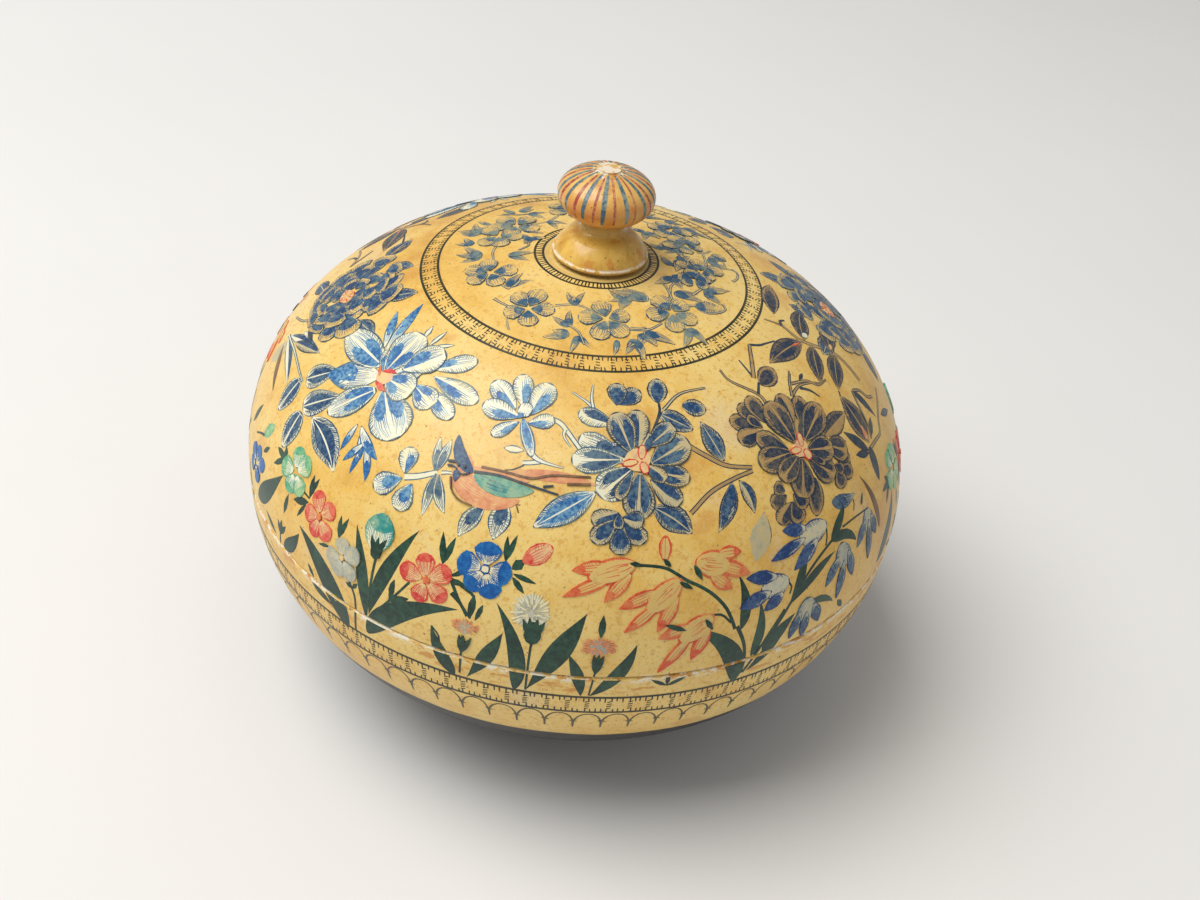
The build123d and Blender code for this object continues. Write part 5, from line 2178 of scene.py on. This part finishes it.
@dataclass
class BowlShell(Shell):
    """The bowl, with its flat foot, its floor and the seat of the collar."""

    rim_height: float = 50.0
    edge_round: float = 0.6
    inner_radius: float = 70.5
    inner_drop: float = 49.5
    seat_radius: float = 70.15
    ledge_height: float = 39.0
    turn_height: float = 18.0
    wall: float = 3.0
    foot_radius: float = 36.0
    floor_height: float = 3.6
    foot_round: float = 2.5
    outside_rows: int = 58
    underside_rows: int = 26
    inside_rows: int = 30

    def section(self) -> list[Point]:
        """Closed section of the shell, as (radius, height) points."""
        form = self.form
        rim = form.radius_beside(self.rim_height) - form.paint_room
        corner = rounded_corner((rim, self.rim_height), (0, -1), (-1, 0), self.edge_round)
        points = list(reversed(corner))
        first = form.angle_beside(self.rim_height - 2 * self.edge_round)
        last = form.angle_beside(self.turn_height)
        for row in range(self.outside_rows + 1):
            points.append(self.inset(first + (last - first) * row / self.outside_rows))
        points += self.underside(points[-1], points[-2], (self.foot_radius, 0.0), self.foot_round)
        points += [(0.0, 0.0), (0.0, self.floor_height), (self.foot_radius, self.floor_height)]
        inner = BoxForm(
            self.inner_radius, form.widest_height, self.inner_radius, form.dome_fullness,
            self.inner_drop, form.bowl_fullness,
        )
        turn = inner.angle_beside(self.turn_height + self.wall)
        ledge = inner.angle_beside(self.ledge_height)
        climb = [inner.at(turn + (ledge - turn) * row / self.inside_rows) for row in range(self.inside_rows + 1)]
        points += reversed(self.underside(climb[0], climb[1], (self.foot_radius, self.floor_height), 0.0))
        return points + climb + [(self.seat_radius, self.ledge_height), (self.seat_radius, self.rim_height)]

    def underside(self, start: Point, before: Point, end: Point, edge: float) -> list[Point]:
        """Arc that leaves the oval smoothly and ends at the flat, with a rounded edge.

        Args:
            start: Last point of the oval.
            before: Point before it.
            end: Corner of the flat.
            edge: Length of the rounding.

        Returns:
            The points after the start, the corner left out.
        """
        run = Vector((start[0] - before[0], start[1] - before[1])).normalized()
        inward = Vector((run.y, -run.x))
        chord = Vector((end[0] - start[0], end[1] - start[1]))
        if inward.dot(chord) < 0:
            inward = -inward
        radius = chord.length_squared / (2 * inward.dot(chord))
        centre = Vector(start) + inward * radius
        begin = Vector(start) - centre
        sweep = begin.angle_signed(Vector(end) - centre)
        points = []
        for row in range(1, self.underside_rows):
            arm = begin.copy()
            arm.rotate(Matrix.Rotation(-sweep * row / self.underside_rows, 2))
            point = centre + arm
            if (point - Vector(end)).length > edge * 0.9:
                points.append((point.x, point.y))
        if edge:
            points += rounded_corner(end, points[-1], None, edge)
        return points


def rounded_corner(corner: Point, back: Point, ahead: Point | None, size: float) -> list[Point]:
    """Points that round a corner of a section.

    Args:
        corner: The corner.
        back: Direction from the corner to where the rounding starts, or, where ahead is
            None, the point before the corner.
        ahead: Direction from the corner to where it ends, or None for a level run inwards.
        size: Distance of both from the corner.

    Returns:
        Five points from start to end.
    """
    if ahead is None:
        away = Vector((back[0] - corner[0], back[1] - corner[1])).normalized()
        back, ahead = (away.x, away.y), (-1.0, 0.0)
    start = (corner[0] + back[0] * size, corner[1] + back[1] * size)
    end = (corner[0] + ahead[0] * size, corner[1] + ahead[1] * size)
    points = []
    for step in range(5):
        part = step / 4
        weights = ((1 - part) ** 2, 2 * part * (1 - part), part ** 2)
        points.append(tuple(
            sum(weight * place[axis] for weight, place in zip(weights, (start, corner, end)))
            for axis in range(2)
        ))
    return points


# ---------------------------------------------------------------- ring bands


@dataclass
class CrownBands:
    """Ladder bands round the knob and round the crown."""

    form: BoxForm
    store: PaintStore
    foot_ring: tuple[float, float] = (11.29, 13.03)
    foot_middle: Point = (-0.56, 0.07)
    rungs: int = 98
    wide_ring: tuple[float, float] = (32.68, 36.24)
    wide_middle: Point = (-0.9, 0.05)
    ticks: int = 216
    ladders: int = 72
    line: float = 0.5

    def paint(self) -> None:
        """Paints both bands."""
        foot = CrownCanvas(self.form, self.store, Zone.BAND, 11, middle=self.foot_middle)
        inner, outer = self.foot_ring
        foot.hoop(Paint.SAND, 10.2, inner - 0.25)
        foot.hoop(Paint.LINE, inner - 0.25, inner + 0.25)
        foot.hoop(Paint.LINE, outer - 0.25, outer + 0.25)
        for number in range(self.rungs):
            turn = 2 * pi * (number + foot.chance.uniform(-0.15, 0.15)) / self.rungs
            self.rung(foot, turn, inner, outer, 0.34)
        foot.dry()
        wide = CrownCanvas(self.form, self.store, Zone.BAND, 12, middle=self.wide_middle)
        inner, outer = self.wide_ring
        wide.hoop(Paint.LINE, inner - self.line / 2, inner + self.line / 2)
        wide.hoop(Paint.LINE, outer - self.line / 2, outer + self.line / 2)
        for number in range(self.ticks):
            turn = 2 * pi * (number + wide.chance.uniform(-0.2, 0.2)) / self.ticks
            self.rung(wide, turn, inner + 0.1, inner + wide.chance.uniform(0.95, 1.25), 0.30)
            turn += pi / self.ticks
            self.rung(wide, turn, outer - 0.1, outer - wide.chance.uniform(0.95, 1.25), 0.30)
        for number in range(self.ladders):
            turn = 2 * pi * (number + wide.chance.uniform(-0.08, 0.08)) / self.ladders
            for step in range(4):
                distance = inner + 0.75 + 0.68 * step
                half = 0.42 / distance
                ends = (polar(distance, turn - half), polar(distance + 0.1, turn + half))
                wide.stroke(Paint.LINE, ends, 0.26, 0.18, wide.lift + wide.coat, cells=1)
        wide.dry()

    def rung(self, page: Canvas, turn: float, start: float, end: float, width: float) -> None:
        """Paints one short line across a band."""
        lean = page.chance.uniform(-0.004, 0.004)
        page.stroke(Paint.LINE, (polar(start, turn), polar(end, turn + lean)), width, width * 0.7,
                    page.lift + page.coat, cells=2)


@dataclass
class BowlBand:
    """Ladder band under the seam and the row of small arches under it."""

    form: BoxForm
    store: PaintStore
    upper: float = 44.65
    lower: float = 39.75
    line: float = 0.62
    ticks: int = 400
    ladders: int = 112
    arches: int = 80
    arch_top: float = 39.1
    arch_foot: float = 35.9
    stem_foot: float = 33.4

    def paint(self) -> None:
        """Paints the band."""
        page = GirdleCanvas(self.form, self.store, Zone.BAND, 21)
        round_it = 2 * pi * self.form.widest_radius
        page.hoop(Paint.LINE, self.upper - self.line / 2, self.upper + self.line / 2)
        page.hoop(Paint.LINE, self.lower - self.line / 2, self.lower + self.line / 2)
        for number in range(self.ticks):
            at = round_it * (number + page.chance.uniform(-0.2, 0.2)) / self.ticks
            self.mark(page, (at, self.upper - 0.2), (at + 0.05, self.upper - page.chance.uniform(1.1, 1.6)))
            at += 0.5 * round_it / self.ticks
            self.mark(page, (at, self.lower + 0.2), (at - 0.05, self.lower + page.chance.uniform(1.0, 1.4)))
        for number in range(self.ladders):
            at = round_it * (number + page.chance.uniform(-0.1, 0.1)) / self.ladders
            for step in range(4):
                height = self.upper - 1.35 - 0.72 * step
                self.mark(page, (at - 0.45, height - 0.16), (at + 0.45, height + 0.16))
        pitch = round_it / self.arches
        for number in range(self.arches):
            self.arch(page, number * pitch, pitch)
        page.dry()

    def arch(self, page: Canvas, at: float, pitch: float) -> None:
        """Paints one arch, with the stem and the cross tick at its left foot."""
        sway = page.chance.uniform(-0.2, 0.2)
        top = self.arch_top + page.chance.uniform(-0.15, 0.2)
        spring = self.arch_foot + page.chance.uniform(-0.2, 0.2)
        rise = top - spring
        curve = (
            (at + 0.05, spring), (at + 0.10 * pitch, spring + 0.52 * rise),
            (at + 0.27 * pitch, spring + 0.88 * rise), (at + pitch / 2 + sway, top),
            (at + 0.73 * pitch, spring + 0.88 * rise), (at + 0.90 * pitch, spring + 0.52 * rise),
            (at + pitch - 0.05, spring),
        )
        lift = page.lift
        page.stroke(Paint.BROWN_LINE, curve, 0.58, 0.50, lift, 0.34)
        page.stroke(Paint.BROWN_LINE, ((at, spring + 0.3), (at + 0.15, self.stem_foot)), 0.62, 0.35,
                    lift + page.coat)
        page.stroke(Paint.BROWN_LINE, ((at - 0.7, spring + 0.4), (at + 0.85, spring + 0.1)), 0.36, 0.28,
                    lift + page.coat)

    def mark(self, page: Canvas, start: Point, end: Point) -> None:
        """Paints one short line of the band."""
        page.stroke(Paint.LINE, (start, end), 0.34, 0.24, page.lift + page.coat, cells=1)


def polar(distance: float, turn: float) -> Point:
    """Point at a distance and an angle."""
    return distance * sin(turn), -distance * cos(turn)


# ---------------------------------------------------------------- knob


@dataclass
class KnobCanvas(Canvas):
    """Page wrapped over the knob's head: lengths run round it, heights up its side."""

    head_radius: float = 10.1
    head_height: float = 0.0
    head_rise: float = 5.7
    head_drop: float = 5.9

    def place(self, point: Point, lift: float) -> Vector:
        """Point of the page on the head, in metres."""
        turn, angle = point[0] / self.head_radius, point[1] / self.head_radius
        radius = self.head_radius * cos(angle)
        side = self.head_rise if angle > 0 else self.head_drop
        spot = Vector((radius * sin(turn), -radius * cos(turn), self.head_height + side * sin(angle)))
        return (spot + self.outward(spot) * lift) * MM

    def outward(self, point: Vector) -> Vector:
        """Outward direction of the head at a point on it."""
        up = point.z - self.head_height
        side = self.head_rise if up > 0 else self.head_drop
        return Vector((point.x / self.head_radius ** 2, point.y / self.head_radius ** 2, up / side ** 2)).normalized()


@dataclass
class Knob:
    """Finish and stripes of the turned knob."""

    form: BoxForm
    store: PaintStore
    node: bpy.types.Object
    seat_radius: float = 8.6
    head_middle: float = 14.2
    stripes: int = 28
    stripe_top: float = 13.1
    stripe_foot: float = -3.6

    def dress(self) -> None:
        """Gives the knob its lacquer and paints the stripes of its head."""
        seat = self.form.height_over(self.seat_radius)
        dress_node(self.node, KnobLacquer("knob_lacquer", seat).material())
        page = KnobCanvas(self.form, self.store, Zone.KNOB, 31, lift=0.03, rooted=0.10,
                          head_height=seat + self.head_middle)
        round_it = 2 * pi * page.head_radius
        for number in range(self.stripes):
            at = round_it * (number + page.chance.uniform(-0.12, 0.12)) / self.stripes
            foot = self.stripe_foot + page.chance.uniform(-0.6, 0.9)
            lean = page.chance.uniform(-0.25, 0.25)
            blue = number % 2 == 0
            top = self.stripe_top - (0 if blue else page.chance.uniform(0.2, 1.8))
            width = page.chance.uniform(0.85, 1.25) if blue else page.chance.uniform(0.55, 0.95)
            line = ((at + lean, top), (at, (top + foot) / 2), (at - lean, foot))
            page.stroke(Paint.STRIPE_BLUE if blue else Paint.STRIPE_RED, line, width * 1.4, width * 0.6,
                        page.lift, width)
        page.dry()


def dress_node(node: bpy.types.Object, material: bpy.types.Material) -> None:
    """Gives a carried-over node its finish."""
    if not node.material_slots:
        node.data.materials.append(material)
    for place in node.material_slots:
        place.material = material


# ---------------------------------------------------------------- decoration


@dataclass(frozen=True)
class Placement:
    """Where a motif is painted."""

    motif: Motif
    azimuth: float
    way: float
    turn: float = 0.0
    mirror: bool = False
    scale: float = 1.0


@dataclass
class Decoration:
    """All painted motifs of the box."""

    form: BoxForm
    store: PaintStore
    back_from: float = 95.0
    placements: tuple[Placement, ...] = (
        Placement(CROWN_SPRAY, -88.6, 20.9),
        Placement(CROWN_PAIR, -10.1, 24.5),
        Placement(CROWN_FLOWER, 43.5, 25.7),
        Placement(CROWN_BUD, 87.0, 23.6),
        Placement(CROWN_BUD, 117.5, 23.8, 8.0),
        Placement(CROWN_SPRAY, 157.0, 21.4),
        Placement(CROWN_PAIR, -139.0, 23.6),
        Placement(PEONY, -81.6, 55.1),
        Placement(BRIGHT_FLOWER, -46.9, 55.7),
        Placement(SMALL_FLOWER, -13.3, 50.5),
        Placement(BIRD, -16.7, 63.9),
        Placement(CLOVER, -35.1, 69.9),
        Placement(HANGING_LEAVES, -16.7, 63.9),
        Placement(FRONT_FLOWER, 12.9, 55.5),
        Placement(DARK_FLOWER, 49.4, 61.0),
        Placement(LEAF_SPRAY, 74.2, 45.9),
        Placement(FLAME_LEAF, 70.8, 66.0),
        Placement(PEONY, 103.0, 56.0, 20.0),
        Placement(FRONT_FLOWER, 140.0, 55.5),
        Placement(DARK_FLOWER, 177.0, 58.5),
        Placement(BRIGHT_FLOWER, 214.0, 55.7),
        Placement(LEAF_SPRAY, 246.0, 52.0, 0.0, True),
        Placement(LEFT_LEAVES, -64.0, 78.0),
        Placement(LEFT_CLUMP, -64.0, 78.0),
    )
    garden: tuple[Placement, ...] = (
        Placement(JADE_POSY, 0.0, 83.6),
        Placement(RED_POSY, 15.3, 95.4),
        Placement(RED_FLOWER, 33.3, 82.0),
        Placement(THISTLE, 46.6, 89.4),
        Placement(BLUE_POSY, 46.6, 89.4),
        Placement(COLUMBINES, 58.8, 80.2),
        Placement(COLUMBINE_BED, 72.4, 83.6),
        Placement(BELLS, 87.4, 82.2),
        Placement(BELLS_RIGHT, 104.8, 75.9),
    )
    garden_starts: tuple[float, ...] = (-48.8, 78.0, 197.0)
    garden_end: float = 275.0

    def rows(self) -> Iterable[Placement]:
        """The garden's row of plants, begun again after each start."""
        for start in self.garden_starts:
            for plant in self.garden:
                if start + plant.azimuth < self.garden_end:
                    yield Placement(plant.motif, start + plant.azimuth, plant.way)

    def paint(self) -> None:
        """Paints every motif at its place."""
        for number, placement in enumerate((*self.placements, *self.rows())):
            motif = placement.motif
            behind = self.back_from < placement.azimuth % 360 < 360 - self.back_from
            zone = BACK_ZONES.get(motif.zone, motif.zone) if behind else motif.zone
            page = SpotCanvas(
                self.form, self.store, zone, 100 + number,
                azimuth=placement.azimuth, way=placement.way, turn=placement.turn,
                mirror=placement.mirror, scale=placement.scale,
            )
            page.paint(motif)


BACK_ZONES = {Zone.SHOULDER: Zone.SHOULDER_BACK, Zone.GARDEN: Zone.GARDEN_BACK}


# ---------------------------------------------------------------- studio


@dataclass
class Studio:
    """Floor, lights and camera."""

    eye: Colour = (0.0, -0.273988, 0.251866)
    right: Colour = (0.99288962, 0.05720319, 0.10439344)
    up: Colour = (-0.11797636, 0.58976494, 0.79891107)
    forward: Colour = (0.01586733, 0.80554647, -0.59232011)
    lens: float = 44.3667
    sensor: float = 36.0
    floor_size: float = 8.0
    ambient: float = 0.35
    target: Colour = (0.0, 0.0, 0.05)
    key_place: Colour = (-0.62, -0.12, 1.2)
    key_power: float = 17.5
    key_size: float = 1.0
    fill_place: Colour = (0.9, -0.9, 0.6)
    fill_power: float = 0.5
    fill_size: float = 1.2

    def build(self) -> None:
        """Builds the whole studio."""
        self.floor()
        self.world()
        self.lamp("key", self.key_place, self.key_power, self.key_size, (1.0, 0.985, 0.96))
        self.lamp("fill", self.fill_place, self.fill_power, self.fill_size, (1.0, 0.93, 0.84))
        self.camera()
        bpy.context.scene.view_settings.view_transform = "Standard"

    def floor(self) -> None:
        """Lays the floor."""
        shape = bmesh.new()
        bmesh.ops.create_grid(shape, x_segments=1, y_segments=1, size=self.floor_size / 2)
        floor = finished("floor", shape)
        floor.data.materials.append(StudioFloor().material())

    def world(self) -> None:
        """Lights the scene evenly from all round."""
        world = bpy.data.worlds.new("studio")
        world.use_nodes = True
        sky = world.node_tree.nodes["Background"]
        sky.inputs["Color"].default_value = (1, 1, 1, 1)
        sky.inputs["Strength"].default_value = self.ambient
        bpy.context.scene.world = world

    def lamp(self, name: str, place: Colour, power: float, size: float, colour: Colour) -> None:
        """Hangs a soft square lamp that faces the box."""
        data = bpy.data.lights.new(name, "AREA")
        data.energy = power
        data.size = size
        data.color = colour
        lamp = bpy.data.objects.new(name, data)
        bpy.context.scene.collection.objects.link(lamp)
        lamp.location = place
        lamp.rotation_euler = (Vector(self.target) - Vector(place)).to_track_quat("-Z", "Y").to_euler()

    def camera(self) -> None:
        """Sets the camera."""
        data = bpy.data.cameras.new("camera")
        data.lens = self.lens
        data.sensor_width = self.sensor
        data.sensor_fit = "HORIZONTAL"
        data.clip_start = 0.01
        camera = bpy.data.objects.new("camera", data)
        bpy.context.scene.collection.objects.link(camera)
        axes = Matrix((self.right, self.up, tuple(-part for part in self.forward))).transposed()
        camera.matrix_world = Matrix.Translation(self.eye) @ axes.to_4x4()
        bpy.context.scene.camera = camera


# ---------------------------------------------------------------- making


def main() -> None:
    """Builds the box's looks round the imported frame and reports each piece."""
    logging.basicConfig(level=logging.INFO, format="%(message)s")
    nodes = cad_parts
    low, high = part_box("lid_shell")
    form = BoxForm(widest_radius=(high.x - low.x) / 2 / MM)
    store = PaintStore()
    Studio().build()
    ground = OchreLacquer().material()
    inside = BlackLacquer().material()
    for shell in (
        LidShell("lid_shell", Body.LID, form, ground, inside),
        BowlShell("bowl_shell", Body.BOWL, form, ground, inside),
    ):
        piece = shell.build()
        log.info("%s: %d faces", piece.name, len(piece.data.polygons))
    dress_node(nodes["fitting_collar"], BlackLacquer("collar_lacquer", wear=0.10).material())
    dress_node(nodes["knob_backing_disc"], BlackLacquer("backing_lacquer", wear=0.05).material())
    Knob(form, store, nodes["knob"]).dress()
    CrownBands(form, store).paint()
    BowlBand(form, store).paint()
    Decoration(form, store).paint()
    for piece in store.pieces():
        log.info("%s: %d faces", piece.name, len(piece.data.polygons))


if __name__ == "__main__":
    main()
